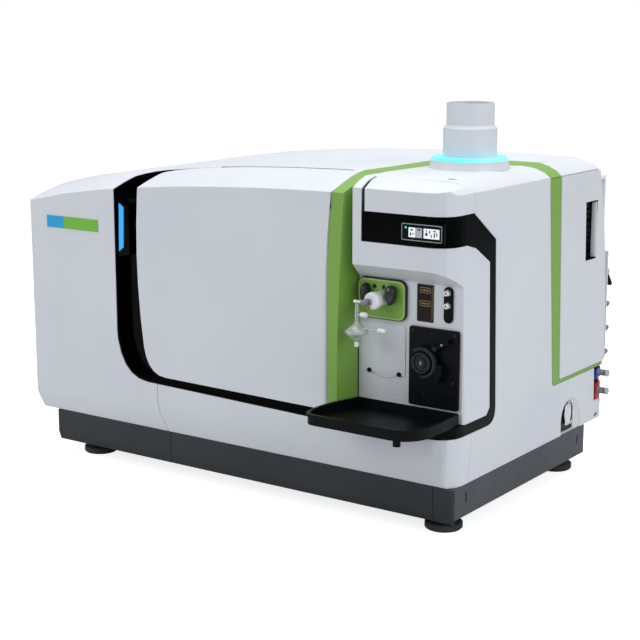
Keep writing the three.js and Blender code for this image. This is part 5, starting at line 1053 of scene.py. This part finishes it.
def intake_roll(z):
    """Outline of the rolled rear wall at one height."""
    out = skin("right_rear_cover", (VENT[1].x + 60, VENT_REAR + 4, z), (-1, 0, 0)).x - 0.1
    turns = [pi / 2 * (1 - i / 8) for i in range(9)]
    roll = [(VENT_FLOOR + 3 + (out - VENT_FLOOR - 3) * cos(a), VENT_REAR - ROLL * sin(a), z) for a in turns]
    return [(VENT_FLOOR, VENT_REAR, z), (VENT_FLOOR, VENT_REAR - ROLL, z), *roll]


made("intake_roll", loft(bmesh.new(), [intake_roll(VENT[0].z + 0.1), intake_roll(VENT[1].z - 0.1)]),
     cover_paint, "cover_paint")

# A black bead along the joint behind the hood, across the top, dark for the shade on the step there; it stops
# short of the hood's ends

HOOD = box_mm("main_door")
JOINT_START, JOINT_SHORT, JOINT_SUNK = 150, 178, 0.55
joint_y = HOOD[1].y + 0.6
across = [HOOD[0].x + JOINT_START + (HOOD[1].x - HOOD[0].x - JOINT_SHORT) * i / 24 for i in range(25)]
joint = [(x, joint_y, skin("main_cover", (x, joint_y + 4, HOOD[1].z + 90), (0, 0, -1)).z - JOINT_SUNK)
         for x in across]
tube("hood_joint", joint, 0.85, gasket_rubber, "matte_black")

# The collar under the lit ring flares out into the roof

STACK, RING = box_mm("exhaust_spigot"), box_mm("glow_ring")
STACK_X, STACK_Y, _ = middle(STACK)
collar = (STACK[1].x - STACK[0].x) / 2
roof = skin("right_side_cover", (STACK_X, STACK_Y - collar - 12, STACK[1].z), (0, 0, -1)).z
collar_top = RING[0].z - roof - 0.4
spun("collar_skirt", [
    (collar - 1, collar_top), (collar + 0.3, collar_top), (collar + 0.6, 12), (collar + 1.2, 7.5),
    (collar + 2.4, 3.4), (collar + 3.4, 0.6), (collar + 3.4, -5), (collar - 1, -5), (collar - 1, collar_top),
], "z", (STACK_X, STACK_Y, roof), 72, cover_paint, "cover_paint")

# Fan guard, louvres and screws of the back

FAN = box_mm("cooling_fan")
FAN_X, _, FAN_Z = middle(FAN)
GUARD_REACH = 66
fan_y = skin("rear_panel", (FAN_X + GUARD_REACH, FAN[1].y + 60, FAN_Z), (0, -1, 0)).y
grown("fan_guard", GUARD, points_mesh("fan_guard", [(FAN_X, fan_y + 1.5, FAN_Z)]), {
    "Rings": 6, "Pitch": 0.011, "Wire": 0.0012, "Material": latch_chrome}, "fitting_steel")
screws("fan_guard_screws", round_about(FAN_X, fan_y + 1.6, FAN_Z, GUARD_REACH, 4, pi / 4), 3.6, 2.4, 0.5, "y",
       nickel_fittings, "fitting_steel")

REAR = box_mm("rear_panel")


def back_y(x, z):
    """Where the back stands at a place."""
    return skin("rear_panel", (x, REAR[1].y + 60, z), (0, -1, 0)).y


LOUVRE_X = 150
rows = [REAR[0].z + 80 + 18 * i for i in range(9)]
# The slots under the louvres are black bars: painted shade in the openings
for name, radius, flatness, drop, paint in (("rear_louvres", 5, 0.7, 0, cover_paint),
                                            ("rear_louvre_slots", 2.2, 0.6, -6.6, gasket_rubber)):
    grown(name, LOUVRES, points_mesh(name, [(LOUVRE_X, back_y(LOUVRE_X, z) - 0.2, z) for z in rows]), {
        "Length": 0.22, "Radius": radius * MM, "Flatness": flatness, "Drop": drop * MM, "Material": paint},
        "cover_paint" if drop == 0 else "matte_black")
places = [(x, REAR[0].z + 22) for x in (-540, -300, -60, 180, 420)]
places += [(x, REAR[0].z + 500) for x in (-420, -180, 60, 300)]
screws("rear_panel_screws", [(x, back_y(x, z) + 0.9, z) for x, z in places], 4, 2.2, 0.5, "y",
       nickel_fittings, "fitting_steel")

# Load coil and its two leads

WINDING = box_mm("load_coil")
COIL_RADIUS, COIL_TUBE = 15, 1.6
coil_low = WINDING[0].y + COIL_TUBE
coil_long = WINDING[1].y - WINDING[0].y - 2 * COIL_TUBE
grown("wound_coil", COIL, points_mesh("wound_coil", [(0, 0, 0)]), {
    "Turns": 3.0, "Coil Radius": COIL_RADIUS * MM, "Height": coil_long * MM, "Tube Radius": COIL_TUBE * MM,
    "X": spot(CAP_X, 0, 0).x, "Y": spot(0, coil_low, 0).y, "Z": CAP_Z * MM, "Material": coil_copper},
    "coil_copper", ("load_coil",))
leads = [(CAP_X + COIL_RADIUS, coil_low + y, z) for y in (0, coil_long) for z in (WINDING[0].z + 0.4, CAP_Z)]
for name, ends in (("front_coil_lead", leads[:2]), ("rear_coil_lead", leads[2:])):
    tube(name, ends, COIL_TUBE, coil_copper, "coil_copper", ("load_coil",))

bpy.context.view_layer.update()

# Floor: matt white, and lit a little by itself for the camera only

FLOOR_HALF_M, FLOOR_GLOW = 30, 0.8
floor_material = coated("matt_white_floor", "#D5D5D7", "#D2D2D4", 0.95, 400, 0.0, Emission_Color=(1, 1, 1, 1),
                        Specular_IOR_Level=0.0)
floor_tree = floor_material.node_tree
floor_shader = next(node for node in floor_tree.nodes if node.type == "BSDF_PRINCIPLED")
camera_ray = add(floor_tree, "ShaderNodeLightPath").outputs["Is Camera Ray"]
floor_glow = add(floor_tree, "ShaderNodeMath", {0: camera_ray, 1: FLOOR_GLOW}, operation="MULTIPLY")
fill(floor_tree, floor_shader, {"Emission Strength": floor_glow})
floor_shape = bmesh.new()
for x, y in ((-1, -1), (1, -1), (1, 1), (-1, 1)):
    floor_shape.verts.new((x * FLOOR_HALF_M, y * FLOOR_HALF_M, 0))
floor_shape.faces.new(floor_shape.verts)
shaped("studio_floor", floor_shape, floor_material)
